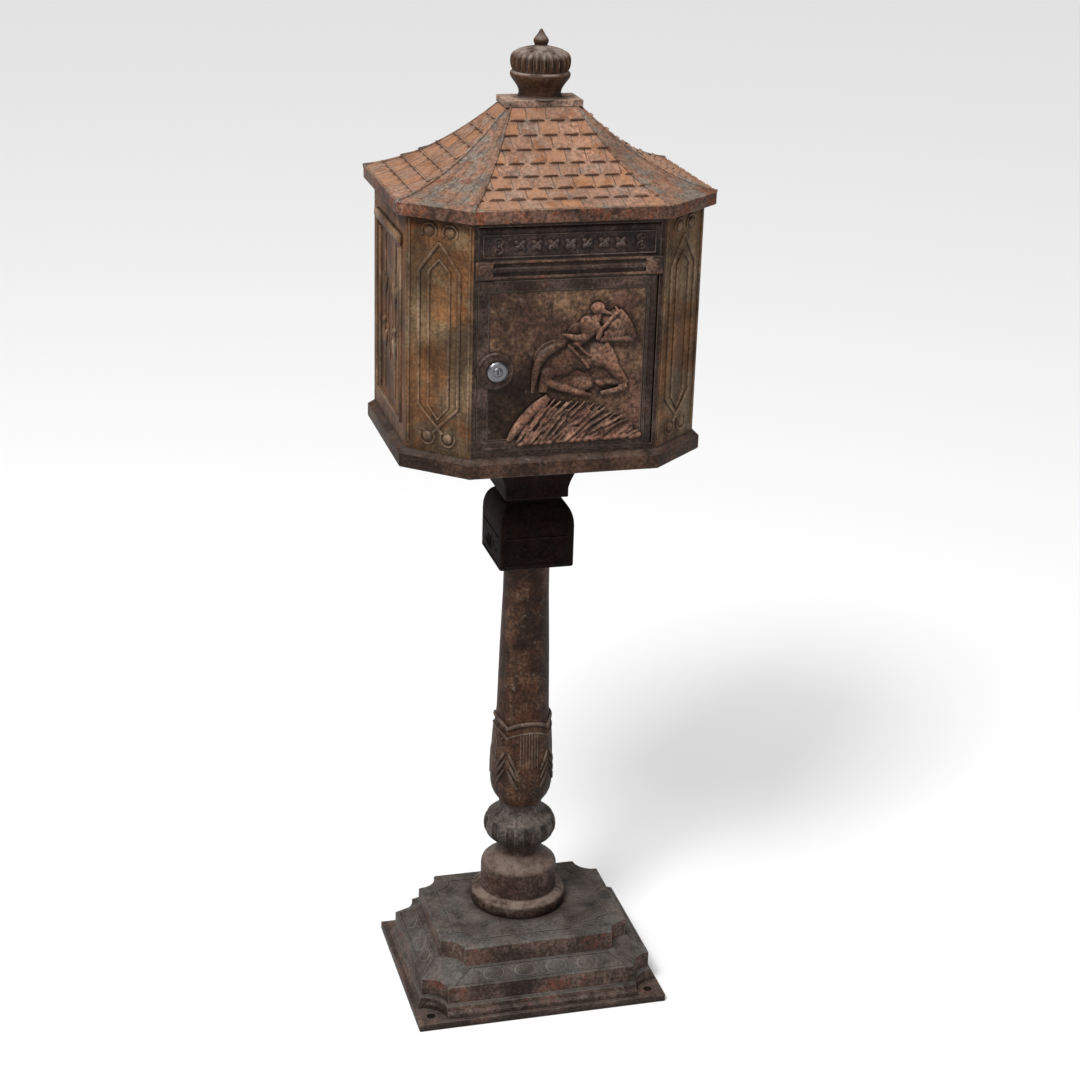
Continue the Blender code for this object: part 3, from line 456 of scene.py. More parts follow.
oldIron = {
    "paint": (0.060, 0.038, 0.029), "second": (0.085, 0.060, 0.048), "rust": (0.150, 0.062, 0.033),
    "dark": (0.013, 0.008, 0.006), "dust": (0.16, 0.125, 0.105), "bare": (0.20, 0.155, 0.13),
    "mottle": 38.0, "runs": 0.35, "rustSize": 22.0, "rustShare": 0.35, "grimeAndHollowShade": 0.85,
    "dustShare": 0.25, "rubbed": 0.6, "pitSize": 330.0, "roughness": 0.56, "flake": 0.35,
    "bump": 0.9, "sheen": 0.12, "stain": 0.45, "specks": 0.5, "crumbs": 0.3, "fleck": 0.5,
    "speckSize": 95.0,
}
ironLooks = {
    "roofTiles": dict(
        paint=(0.267, 0.135, 0.087), second=(0.212, 0.141, 0.107), rust=(0.323, 0.119, 0.043),
        dark=(0.10, 0.055, 0.04), dust=(0.298, 0.209, 0.158), bare=(0.348, 0.226, 0.158),
        tint=(0.336, 0.147, 0.066), runs=0.15, rustSize=34.0, rustShare=0.5, stain=0.2, dustShare=0.35,
        rubbed=0.4, grimeAndHollowShade=0.9, roughness=0.75),
    "roofIron": dict(
        paint=(0.193, 0.103, 0.068), second=(0.125, 0.115, 0.099), rust=(0.216, 0.069, 0.029),
        dark=(0.06, 0.034, 0.025), dust=(0.238, 0.156, 0.112), bare=(0.249, 0.161, 0.112), runs=0.2,
        rustSize=26.0, rustShare=0.42, dustShare=0.3, roughness=0.75, stain=0.25),
    "crownIron": dict(
        paint=(0.240, 0.154, 0.116), second=(0.300, 0.189, 0.139), rust=(0.360, 0.154, 0.086),
        dust=(0.450, 0.322, 0.251), bare=(0.480, 0.350, 0.277), dustShare=0.4),
    "fasciaIron": dict(
        paint=(0.086, 0.046, 0.032), second=(0.141, 0.066, 0.043), rust=(0.257, 0.085, 0.043),
        bare=(0.308, 0.185, 0.129), rustSize=60.0, rustShare=0.52, mottle=60.0, bump=1.0, flake=0.6,
        pitSize=220.0),
    "wallIron": dict(
        paint=(0.125, 0.057, 0.023), second=(0.116, 0.077, 0.041), rust=(0.174, 0.054, 0.015),
        dark=(0.030, 0.016, 0.010), dust=(0.163, 0.103, 0.068), bare=(0.186, 0.122, 0.079), mottle=13.0,
        runs=0.6, rustSize=14.0, rustShare=0.42, stain=0.5, fleck=0.3, specks=0.3, crumbs=0.15, bump=0.7),
    "sideIron": dict(
        paint=(0.119, 0.044, 0.016), second=(0.109, 0.056, 0.027), rust=(0.180, 0.047, 0.012),
        dark=(0.024, 0.012, 0.008), dust=(0.180, 0.102, 0.064), bare=(0.209, 0.128, 0.080), mottle=15.0,
        runs=0.6, rustSize=16.0, rustShare=0.4, stain=0.5, fleck=0.3, specks=0.3, crumbs=0.15, bump=0.7),
    # paler than the walls: worn ridges with a painted highlight, and painted shade on their undersides
    "ridgeWearAndHighlightIron": dict(
        paint=(0.121, 0.063, 0.031), second=(0.152, 0.100, 0.063), rust=(0.164, 0.052, 0.018),
        bare=(0.206, 0.136, 0.091), under=0.65, mottle=13.0, runs=0.3, rustSize=14.0, rustShare=0.36,
        fleck=0.3, specks=0.25, crumbs=0.2, bump=0.6),
    "doorIron": dict(
        paint=(0.080, 0.041, 0.029), second=(0.123, 0.070, 0.041), rust=(0.182, 0.065, 0.031),
        rustShare=0.34, runs=0.45, mottle=34.0, stain=0.45,
        darkNearSpot=((-0.055, -0.1405, 0.765), 0.03, 0.13, 0.22, 1.1)),
    # the relief carries painted light: paler on what faces up and stands forward, painted shade below and
    # in its depths
    "reliefIron": dict(
        paint=(0.110, 0.052, 0.034), second=(0.134, 0.073, 0.049), rust=(0.227, 0.077, 0.026),
        bare=(0.252, 0.154, 0.110), rubbed=0.9, rustShare=0.32, runs=0.1, dustShare=0.3, grimeAndHollowShade=1.0,
        under=0.40, proudWearAndDepthShade=(-0.1485, -0.1412, 1.40, 0.42)),
    "frontIron": dict(
        paint=(0.032, 0.019, 0.014), second=(0.049, 0.031, 0.024), rust=(0.091, 0.032, 0.018),
        rustShare=0.36, roughness=0.5),
    "rustedIron": dict(
        paint=(0.060, 0.036, 0.027), second=(0.10, 0.055, 0.038), rust=(0.20, 0.080, 0.042),
        rustShare=0.45),
    "flapIron": dict(
        paint=(0.027, 0.019, 0.018), second=(0.049, 0.030, 0.024), rustShare=0.28, under=0.60,
        roughness=0.5),
    "postIron": dict(
        paint=(0.033, 0.013, 0.007), second=(0.052, 0.026, 0.015), rustShare=0.36, runs=0.5,
        bare=(0.206, 0.152, 0.119), crumbs=0.45, stain=0.6),
    "ringIron": dict(
        paint=(0.043, 0.036, 0.031), second=(0.062, 0.051, 0.044), rust=(0.11, 0.046, 0.034), under=0.7,
        specks=0.3, crumbs=0.15, stain=0.5, rustShare=0.28),
    "leafIron": dict(
        paint=(0.051, 0.032, 0.022), second=(0.081, 0.056, 0.042), bare=(0.221, 0.161, 0.126), under=0.65,
        rubbed=0.7, specks=0.3, crumbs=0.2, fleck=0.3, runs=0.2),
    "footIron": dict(
        paint=(0.040, 0.022, 0.016), second=(0.066, 0.044, 0.035), rust=(0.150, 0.052, 0.024),
        rustShare=0.34, rustSize=30.0, dust=(0.170, 0.125, 0.102), dustShare=1.0),
    # nearly black: the shadow of the box above is painted into the capital's colour
    "capitalIronInPaintedShadow": dict(
        paint=(0.009, 0.003, 0.002), second=(0.006, 0.003, 0.002), rust=(0.024, 0.006, 0.003),
        rubbed=0.25, dustShare=0.1, sheen=0.06, roughness=0.75, crumbs=0.0),
    "baseIron": dict(
        paint=(0.068, 0.058, 0.050), second=(0.058, 0.056, 0.052), rust=(0.125, 0.062, 0.046),
        bare=(0.20, 0.18, 0.165), rustShare=0.30, rustSize=20.0, dustShare=0.25, pitSize=240.0,
        mottle=20.0, fleck=0.3, specks=0.3, crumbs=0.12, stain=0.5, rubbed=0.9, bump=0.6),
    "bandIron": dict(
        paint=(0.046, 0.030, 0.024), second=(0.066, 0.042, 0.033), rust=(0.135, 0.050, 0.036),
        bare=(0.20, 0.16, 0.14), rustShare=0.46, rustSize=30.0, fleck=0.5, specks=0.5, stain=0.6,
        bump=0.7),
    "floorIron": dict(
        paint=(0.048, 0.024, 0.015), second=(0.031, 0.016, 0.010), rust=(0.095, 0.031, 0.014),
        rustShare=0.34),
    "finialIron": dict(
        paint=(0.045, 0.020, 0.010), second=(0.035, 0.018, 0.010), rust=(0.066, 0.019, 0.009),
        dark=(0.02, 0.011, 0.007), dust=(0.26, 0.21, 0.18), bare=(0.34, 0.27, 0.23), dustShare=0.9,
        fleck=0.35, specks=0.35),
}
finishes = {key: ironFinish(key, {**oldIron, **look}) for key, look in ironLooks.items()}
finishes["oldSteel"] = metalFinish("oldSteel", (0.30, 0.26, 0.23), (0.12, 0.05, 0.03), 0.5, 0.55)
finishes["lockChrome"] = metalFinish("lockChrome", (0.17, 0.17, 0.185), (0.04, 0.034, 0.03), 0.30, 0.42)
print("finishes made:", len(finishes))


# the stepped base: soft edges, an engraved line round its top, framed panels on its slopes
base = {"shiftY": -0.0185, "topZ": 0.088, "lineHalfX": 0.099, "lineHalfY": 0.072, "lineBite": 0.021,
        "lineWide": 0.0022, "lineDeep": 0.0014, "bandTopZ": 0.023,
        "slopeLowZ": 0.046, "slopeHighZ": 0.063, "frameThick": 0.0011, "cushion": (0.013, 0.0078, 0.0012)}
# each slope: its foot and its top from the middle, its panel's half length low and high
slopes = {"frontAndBack": (0.107, 0.0885, 0.108, 0.088), "leftAndRight": (0.144, 0.1205, 0.074, 0.056)}


def bittenSlab(halfX, halfY, bite, low, high):  # a slab with a round bite out of each corner
    slab = block((-halfX, base["shiftY"] - halfY, low), (halfX, base["shiftY"] + halfY, high))
    for signX in (-1, 1):
        for signY in (-1, 1):
            corner = (signX * halfX, base["shiftY"] + signY * halfY, (low + high) / 2)
            carve(slab, rod(corner, bite, 2 * (high - low), "Z", 40))
    return slab


def makeBase():
    piece = castingFrom("base", "base_casting")
    low, high = base["topZ"] - base["lineDeep"], base["topZ"] + 0.004
    wide = base["lineWide"]
    groove = bittenSlab(base["lineHalfX"], base["lineHalfY"], base["lineBite"], low, high)
    core = bittenSlab(base["lineHalfX"] - wide, base["lineHalfY"] - wide, base["lineBite"],
                      low - 0.001, high + 0.001)
    carve(groove, core)
    carve(piece, groove)
    soften(piece, 0.0014, 2, 34)
    place(smoothed(piece), "root", "baseIron", "base")
    paintFaces(piece, "bandIron", lambda face: face.normal.z < 0.35 or face.center.z < base["bandTopZ"])


def makeSlopePanels():  # a framed row of low cushions cast on each of the four slopes
    parts = []
    for facing, (foot, top, wideLow, wideHigh) in slopes.items():
        sideways = facing == "leftAndRight"
        along = Vector((0, 1, 0)) if sideways else Vector((1, 0, 0))
        lean = math.atan2(base["slopeHighZ"] - base["slopeLowZ"], foot - top)
        wide, narrow, thick = base["cushion"]
        for sign in (-1, 1):
            out = Vector((sign, 0, 0)) if sideways else Vector((0, sign, 0))
            shift = Vector((0, base["shiftY"], 0))
            lowEdge = out * foot + shift + Vector((0, 0, base["slopeLowZ"]))
            highEdge = out * top + shift + Vector((0, 0, base["slopeHighZ"]))
            lowMiddle, highMiddle = lowEdge.lerp(highEdge, 0.14), lowEdge.lerp(highEdge, 0.90)
            ring = [lowMiddle - along * wideLow, lowMiddle + along * wideLow,
                    highMiddle + along * wideHigh, highMiddle - along * wideHigh]
            parts.append(evenBead(ring, base["frameThick"], closed=True, rounding=1))
            for share in (-0.6, -0.2, 0.2, 0.6):
                lowSpot = lowEdge.lerp(highEdge, 0.26) + along * (wideLow * share)
                highSpot = lowEdge.lerp(highEdge, 0.78) + along * (wideHigh * share)
                size = (narrow, wide, thick) if sideways else (wide, narrow, thick)
                tilt = (0, sign * lean, 0) if sideways else (-sign * lean, 0, 0)
                parts.append(egg((lowSpot + highSpot) / 2, size, tilt, 16))
    trimPiece("base_slope_panels", parts, "baseIron")


# the post: turned casting with a lobed ring, a leaf cup and its veins
post = {"bottom": 0.0883, "bore": 0.014, "sides": 96, "footZ": 0.1735, "ringZ": 0.226,
        "ringLobes": 12, "grooves": ((0.176, 0.205, 0.940), (0.179, 0.200, 0.965))}
postProfile = [
    (0.0270, 0.5495), (0.0275, 0.505), (0.0300, 0.430), (0.0318, 0.352), (0.0322, 0.349),
    (0.0325, 0.340), (0.0330, 0.335), (0.0342, 0.333), (0.0349, 0.330), (0.0358, 0.315),
    (0.0367, 0.300), (0.0375, 0.284), (0.0380, 0.268), (0.0380, 0.260), (0.0375, 0.252),
    (0.0362, 0.245), (0.0338, 0.239), (0.0306, 0.2340), (0.0278, 0.2305), (0.0264, 0.2270),
    (0.0260, 0.222), (0.0264, 0.2165), (0.0290, 0.2120), (0.0335, 0.2095), (0.0380, 0.208),
    (0.0408, 0.2055), (0.0428, 0.202), (0.0442, 0.1975), (0.0447, 0.193), (0.0441, 0.188),
    (0.0425, 0.1838), (0.0395, 0.1797), (0.0355, 0.1762), (0.0310, 0.1738), (0.0290, 0.173),
    (0.0283, 0.1700), (0.0281, 0.164), (0.0285, 0.1600), (0.0300, 0.157), (0.0330, 0.1532),
    (0.0380, 0.1488), (0.0430, 0.1450), (0.0455, 0.1425), (0.0466, 0.1395), (0.0470, 0.1355),
    (0.0470, 0.1095), (0.0474, 0.1078), (0.0490, 0.1066), (0.0525, 0.1053), (0.0562, 0.1040),
    (0.0580, 0.1025), (0.0588, 0.0998), (0.0588, 0.0900), (0.0584, 0.0887), (0.0575, 0.0883),
]


def postRadius(height):
    for (radius, top), (nextRadius, bottom) in zip(postProfile, postProfile[1:]):
        if bottom <= height <= top:
            return radius + (nextRadius - radius) * (top - height) / (top - bottom)
    return postProfile[-1][0]


def onPost(angle, height, lift=0.0):  # a spot on the post's skin
    radius = postRadius(height) + lift
    return Vector((radius * math.cos(angle), radius * math.sin(angle), height))


def makePost():
    ends = [(post["bore"], postProfile[0][1])]
    piece = turnedPiece("post_casting", ends + postProfile + [(post["bore"], post["bottom"]), ends[0]],
                        post["sides"])
    lobe = math.tau / post["ringLobes"]
    for low, high, ratio in post["grooves"]:
        choose(piece, "VERT", lambda point: low < point.co.z < high and point.co.xy.length > 0.03
               and abs((math.atan2(point.co.y, point.co.x) % lobe) / lobe - 0.5) > 0.33)
        bpy.ops.transform.resize(value=(ratio, ratio, 1), center_override=(0, 0, 0))
        leaveEdit()
    place(smoothed(piece, 42), "root", "postIron", "post")
    paintFaces(piece, "footIron", lambda face: face.center.z < post["footZ"])
    paintFaces(piece, "ringIron", lambda face: post["footZ"] < face.center.z < post["ringZ"])


cup = {"rimZ": 0.3435, "rimDrop": 0.0095, "rims": ((0.0, 0.0027, 0.0007), (0.0120, 0.0015, 0.0)),
       "flute": ((0.330, 0.8), (0.316, 1), (0.300, 0.9), (0.286, 0.4)), "flutePitch": 5.6,
       "fluteThick": 0.0011, "veinZ": 0.304, "veinPitch": 0.0115, "veinThick": 0.0024}


def makeLeafCup():  # four leaves: arched double rim, flutes in the middle, veins on both sides
    parts = []
    for quarter in range(4):
        middle = quarter * math.pi / 2
        for drop, thick, lift in cup["rims"]:
            arch = []
            for step in range(-8, 9):
                share = abs(step) / 8
                angle = middle + step / 8 * math.pi / 4
                height = cup["rimZ"] - drop - cup["rimDrop"] * share ** 2.2
                arch.append(onPost(angle, height, lift))
            parts.append(evenBead(arch, thick))
        for step in range(-3, 4):
            angle = middle + math.radians(step * cup["flutePitch"])
            flute = [(onPost(angle, height, -0.0002), share) for height, share in cup["flute"]]
            parts.append(bead(flute, cup["fluteThick"], rounding=1))
        for side in (-1, 1):
            for vein in range(3):
                start = cup["veinZ"] - vein * cup["veinPitch"]
                line = []
                for share, thick in ((0.0, 0.5), (0.7, 1.0), (1.5, 1.0), (2.2, 0.5)):
                    angle = middle + side * math.radians(41 - 8 * share)
                    line.append((onPost(angle, start - 0.0100 * share, 0.0004), thick))
                parts.append(bead(line, cup["veinThick"], kind="NURBS"))
    trimPiece("leaf_cup", parts, "leafIron")


# the square block over the shaft, with a worn shell between two lines on each side
capital = {"half": 0.0443, "shellZ": 0.5573, "rays": 5, "raySpread": 30, "rayIn": 0.004,
           "rayOut": (0.0235, 0.0175), "rayThick": 0.0022, "lineHalf": 0.036, "lineThick": 0.0012,
           "lines": (-0.0035, 0.031)}


def makeCapitalPanel():
    parts = []
    low = capital["shellZ"]
    face = -capital["half"]
    for quarter in range(4):
        turn = Matrix.Rotation(quarter * math.pi / 2, 4, "Z")
        for step in range(capital["rays"]):
            angle = math.radians(capital["raySpread"] * (step - (capital["rays"] - 1) / 2))
            inner = capital["rayIn"]
            root = Vector((inner * math.sin(angle), face + 0.0004, low + inner * math.cos(angle)))
            outX, outZ = capital["rayOut"]
            tip = root + Vector((outX * math.sin(angle), 0, outZ * math.cos(angle)))
            parts.append(bead([(turn @ root, 0.5), (turn @ root.lerp(tip, 0.6), 1), (turn @ tip, 0.7)],
                              capital["rayThick"], kind="NURBS"))
        for height in capital["lines"]:
            ends = [turn @ Vector((sign * capital["lineHalf"], face + 0.0002, low + height))
                    for sign in (-1, 1)]
            parts.append(evenBead(ends, capital["lineThick"]))
    trimPiece("capital_shells", parts, "capitalIronInPaintedShadow")


# the box: floor rim, front, sides and back
box = {"halfX": 0.1663, "halfY": 0.1415, "cornerX": 0.1049, "cornerY": 0.0878,
       "bottomZ": 0.7249, "topZ": 0.9847}


def onReturn(signX, signY, across, height, lift=0.0):  # a spot on one of the chamfered returns
    near = Vector((signX * box["cornerX"], signY * box["halfY"], 0))
    far = Vector((signX * box["halfX"], signY * box["cornerY"], 0))
    along = (far - near).normalized()
    outward = Vector((signX * abs(along.y), signY * abs(along.x), 0))
    spot = (near + far) / 2 + along * across + outward * lift
    return Vector((spot.x, spot.y, height))


returnPanel = {"outer": 0.0245, "inner": 0.0125, "sideLow": 0.778, "sideHigh": 0.927,
               "outerPeak": 0.959, "innerPeak": 0.940, "innerFoot": 0.763, "cross": 0.7535,
               "bossZ": 0.7425, "bossTopZ": 0.9700, "bossX": 0.0125, "bossR": 0.0088,
               "edge": 0.0365, "thick": 0.0024, "thin": 0.0016}


def makeReturnMouldings(name, signX, signY):
    p = returnPanel

    def line(points, thick, **more):
        return evenBead([onReturn(signX, signY, across, height, -0.0002) for across, height in points],
                        thick, **more)

    parts = [line([(-p["inner"], p["sideLow"]), (-p["inner"], p["sideHigh"]), (0, p["innerPeak"]),
                   (p["inner"], p["sideHigh"]), (p["inner"], p["sideLow"]), (0, p["innerFoot"])],
                  0.0020, closed=True)]
    for side in (-1, 1):
        parts.append(line([(0, p["outerPeak"]), (side * p["outer"], p["sideHigh"]),
                           (side * p["outer"], p["sideLow"]), (0, p["cross"]),
                           (-side * 0.0055, p["cross"] - 0.0065)], p["thick"]))
        parts.append(line([(side * p["edge"], box["bottomZ"] + 0.008),
                           (side * p["edge"], box["topZ"] - 0.004)], p["thin"]))
        for height, lift in ((p["bossZ"], 1), (p["bossTopZ"], -1)):
            hoop = [(side * (p["bossX"] + p["bossR"] * math.cos(math.radians(angle))),
                     height - lift * p["bossR"] * math.sin(math.radians(angle)))
                    for angle in range(-30, 216, 15)]
            parts.append(line(hoop, p["thin"]))
            spot = onReturn(signX, signY, side * p["bossX"], height, -0.0008)
            facing = math.atan2(box["cornerX"] - box["halfX"], box["halfY"] - box["cornerY"])
            turn = (0, 0, -signX * signY * (math.pi / 2 + facing))
            parts.append(egg(spot, (0.0062, 0.0036, 0.0062), turn, 20))
    trimPiece(name, parts, "ridgeWearAndHighlightIron", 50)


def makeFrontFrame():
    piece = castPiece("front_frame", "front_casting", "frontIron", 0.0007)
    paintFaces(piece, "wallIron", lambda face: abs(face.center.x) > box["cornerX"] - 0.0002)


bar = {"middleZ": 0.9335, "half": 0.0840, "thick": 0.0030, "faceY": -0.1415, "ridge": 0.0017,
       "blockOut": 0.1030, "blockLow": 0.9240, "blockHigh": 0.9430, "stand": 0.0034}


def makeTransomBar():  # rounded bar between the flap and the door
    ends = [(sign * bar["half"], bar["faceY"], bar["middleZ"]) for sign in (-1, 1)]
    trimPiece("transom_bar", [evenBead(ends, bar["thick"], rounding=4)], "frontIron", 50)


def makeTransomEnds():  # rusted ridges over and under the bar, and an end block each side
    parts = []
    for height in (bar["blockLow"] + 0.0012, bar["blockHigh"] - 0.0012):
        ends = [(sign * bar["half"], bar["faceY"] - 0.0004, height) for sign in (-1, 1)]
        parts.append(evenBead(ends, bar["ridge"]))
    for side in (-1, 1):
        ends = sorted((side * bar["half"], side * bar["blockOut"]))
        for deep, inset in ((bar["stand"], 0.0), (bar["stand"] + 0.0012, 0.0038)):
            parts.append(block((ends[0] + inset, bar["faceY"] - deep, bar["blockLow"] + inset),
                               (ends[1] - inset, bar["faceY"] + 0.001, bar["blockHigh"] - inset), 0.0010))
    trimPiece("transom_ends", parts, "rustedIron", 50)


# a side wall's panel: frame, ledge over it, stems with leaves, and a lozenge in the middle
sidePanel = {"frameY": 0.0660, "lowZ": 0.7480, "highZ": 0.9500, "ledgeLowZ": 0.9470, "ledgeHighZ": 0.9575,
             "postY": 0.052, "stemY": 0.0270, "leafZ": 0.8150, "leafPitch": 0.062,
             "leaf": (0.0032, 0.0048, 0.0135),
             "lozenge": ((0.0, 0.800), (0.0135, 0.848), (0.0, 0.896), (-0.0135, 0.848))}


def makeSideWall(node, sign):
    castPiece(node, node + "_casting", "sideIron", 0.0007)
    face = sign * box["halfX"]
    p = sidePanel

    def line(sunk, places, thick, closed=False):
        return evenBead([(face - sign * sunk, y, z) for y, z in places], thick, closed=closed)

    parts = [line(0.0002, [(-p["frameY"], p["lowZ"]), (p["frameY"], p["lowZ"]),
                           (p["frameY"], p["highZ"]), (-p["frameY"], p["highZ"])], 0.0026, closed=True)]
    ledge = sorted((face - sign * 0.001, face + sign * 0.0042))
    reach = p["frameY"] + 0.004
    parts.append(block((ledge[0], -reach, p["ledgeLowZ"]), (ledge[1], reach, p["ledgeHighZ"]), 0.0018))
    for y in (-p["postY"], p["postY"]):
        parts.append(line(0.0012, [(y, 0.7560), (y, 0.9400)], 0.0030))
    for y in (-p["stemY"], p["stemY"]):
        parts.append(line(0.0014, [(y, 0.7600), (y, 0.9370)], 0.0014))
        for lean in (-1, 1):
            for height in (p["leafZ"], p["leafZ"] + p["leafPitch"]):
                spot = (face - sign * 0.0016, y + lean * 0.0052, height + 0.003)
                parts.append(egg(spot, p["leaf"], (lean * -0.42, 0, 0), 14))
        bud = (face - sign * 0.0014, y, p["leafZ"] + 0.024)
        parts.append(egg(bud, (0.0040, 0.0048, 0.0048), sides=14))
    parts.append(line(0.0016, p["lozenge"], 0.0013, closed=True))
    trimPiece(node + "_mouldings", parts, "ridgeWearAndHighlightIron", 50)


backPanel = {"frames": ((0.0895, 0.7475, 0.9625, 0.0002, 0.0017), (0.0700, 0.7670, 0.9430, 0.0016, 0.0013)),
             "middleZ": 0.855, "lozenges": (0.034, 0.020), "tall": 1.9, "boss": (0.0075, 0.0028, 0.0110)}


def makeBackWall():
    castPiece("back_wall", "back_casting", "wallIron", 0.0007)
    y = box["halfY"]
    parts = []
    for half, low, high, sunk, thick in backPanel["frames"]:
        corners = ((-half, low), (half, low), (half, high), (-half, high))
        parts.append(evenBead([(x, y - sunk, z) for x, z in corners], thick, closed=True))
    for reach in backPanel["lozenges"]:
        lozenge = [(math.cos(angle) * reach, y - 0.0016,
                    backPanel["middleZ"] + math.sin(angle) * reach * backPanel["tall"])
                   for angle in (0, math.pi / 2, math.pi, 3 * math.pi / 2)]
        parts.append(evenBead(lozenge, 0.0013, closed=True))
    parts.append(egg((0, y - 0.0014, backPanel["middleZ"]), backPanel["boss"]))
    trimPiece("back_mouldings", parts, "wallIron", 50)


# the roof: casting, shingle courses on four faces, ribbed corners and worn hips
roof = {"eaveZ": 0.9994, "topZ": 1.083, "eaveHalfX": 0.1780, "eaveHalfY": 0.1532,
        "topHalfX": 0.040, "topHalfY": 0.020, "topCut": 0.003, "courses": 8,
        "tileWide": 0.0225, "tileLong": 0.024, "tileThick": 0.0014, "tileGap": 0.0014, "tileRound": 0.0045,
        "overlap": 1.12, "lean": 0.0004, "skew": 0.04, "sink": (0.0004, 0.0008), "hipThick": 0.0026,
        "ribThick": 0.0018, "ribs": (0.22, 0.40, 0.60, 0.78)}


def roofHeight(share):  # share is 0 at the eave and 1 at the crown
    return roof["eaveZ"] + (roof["topZ"] - roof["eaveZ"]) * (0.35 * share + 0.65 * share * share)


def eaveCorners():  # the eave's two corners of the front right return, front one first
    grow = roof["eaveHalfX"] - box["halfX"]
    run = math.hypot(box["halfX"] - box["cornerX"], box["halfY"] - box["cornerY"])
    outX = (box["halfY"] - box["cornerY"]) / run
    outY = (box["halfX"] - box["cornerX"]) / run
    reach = outX * box["halfX"] + outY * box["cornerY"] + grow
    frontX = (reach - outY * roof["eaveHalfY"]) / outX
    sideY = (reach - outX * roof["eaveHalfX"]) / outY
    return (frontX, roof["eaveHalfY"]), (roof["eaveHalfX"], sideY)


def onHip(which, signX, signY, share, lift=0.0):  # which is 0 for the front's hip, 1 for the side's
    eaveX, eaveY = eaveCorners()[which]
    if which == 0:
        topX, topY = roof["topHalfX"] - roof["topCut"], roof["topHalfY"]
    else:
        topX, topY = roof["topHalfX"], roof["topHalfY"] - roof["topCut"]
    x = eaveX + (topX - eaveX) * share
    y = eaveY + (topY - eaveY) * share
    return Vector((signX * x, signY * y, roofHeight(share) + lift))


def makeRoof():
    piece = castPiece("roof", "roof_casting", "roofIron", 0.0016, 3, 40, 30)
    paintFaces(piece, "crownIron", lambda face: face.center.z > roof["topZ"] - 0.0008)
    paintFaces(piece, "fasciaIron", lambda face: face.center.z < roof["eaveZ"] - 0.0006)


def slopeSteps(across, count):  # shares from the eave that split the slope into equal lengths
    fine = 400
    lengths = [0.0]
    for step in range(fine):
        rise = roofHeight((step + 1) / fine) - roofHeight(step / fine)
        lengths.append(lengths[-1] + math.hypot(rise, across / fine))
    goals = [lengths[-1] * number / count for number in range(count + 1)]
    return [min(range(fine + 1), key=lambda step: abs(lengths[step] - goal)) / fine for goal in goals]


def makePatternTile():  # one shingle lying flat, its two lower corners rounded
    clearAll()
    size = (roof["tileWide"] - roof["tileGap"], roof["tileLong"], roof["tileThick"])
    bpy.ops.mesh.primitive_cube_add(size=1, scale=size)
    tile = settle(bpy.context.object)
    choose(tile, "VERT", lambda point: point.co.y < 0)
    bpy.ops.mesh.bevel(offset=roof["tileRound"], segments=3, affect="EDGES")
    leaveEdit()
    return soften(tile, 0.0005, 1, 40)


def layTile(tile, middle, skew, sink, low, high, eaveOut, run):  # every point follows the roof's flare
    for point in tile.data.vertices:
        x, along, rise = point.co
        up = along / roof["tileLong"] + 0.5
        share = min(low + (high - low) * roof["overlap"] * up, 1.0)
        slope = Vector((0, run, (roofHeight(share + 0.001) - roofHeight(share)) * 1000))
        outward = Vector((1, 0, 0)).cross(slope.normalized())
        spot = Vector((middle + x + skew * along, run * share - eaveOut, roofHeight(share)))
        point.co = spot + outward * (rise - sink + roof["lean"] * (1 - up))


def trimOff(spot, outward, near=0.00001):  # cuts away all that lies past a plane
    bpy.ops.mesh.select_all(action="SELECT")
    bpy.ops.mesh.bisect(plane_co=spot, plane_no=outward, use_fill=True, clear_outer=True,
                        clear_inner=False, threshold=near)


def makeShingles(name, quarter, patternTile):
    sideways = quarter % 2 == 1
    eaveOut = roof["eaveHalfX"] if sideways else roof["eaveHalfY"]
    topOut = roof["topHalfX"] if sideways else roof["topHalfY"]
    front, side = eaveCorners()
    eaveHalf = side[1] if sideways else front[0]
    topHalf = (roof["topHalfY"] if sideways else roof["topHalfX"]) - roof["topCut"]
    marks = slopeSteps(eaveOut - topOut, roof["courses"])
    parts = []
    for course, (low, high) in enumerate(zip(marks, marks[1:])):
        half = eaveHalf + (topHalf - eaveHalf) * low
        reach = math.ceil(half / roof["tileWide"]) + 1
        for number in range(-reach, reach + 1):
            middle = (number + course % 2 * 0.5) * roof["tileWide"]
            if abs(middle) - roof["tileWide"] / 2 > half:
                continue
            tile = duplicate(patternTile)
            skew = dice.uniform(-roof["skew"], roof["skew"])
            sink = dice.uniform(*roof["sink"])
            layTile(tile, middle, skew, sink, low, high, eaveOut, eaveOut - topOut)
            shade = tile.data.attributes.new("ownShade", "FLOAT", "FACE")
            shade.data.foreach_set("value", [dice.random() ** 1.6] * len(tile.data.polygons))
            parts.append(tile)
    piece = joined(name, parts)
    choose(piece, "FACE", lambda face: True)
    for sign in (-1, 1):
        hip = Vector((sign * (topHalf - eaveHalf), eaveOut - topOut, 0)).normalized()
        outward = Vector((sign * hip.y, -sign * hip.x, 0))
        trimOff(Vector((sign * eaveHalf, -eaveOut, 0)) - outward * 0.0006, outward)
    trimOff((0, 0, roof["topZ"] - 0.0004), (0, 0, 1))
    trimOff((0, -eaveOut + 0.0004, 0), (0, -1, 0))
    leaveEdit()
    piece.data.transform(Matrix.Rotation(quarter * math.pi / 2, 4, "Z"))
    place(smoothed(piece, 30), "root", "roofTiles")


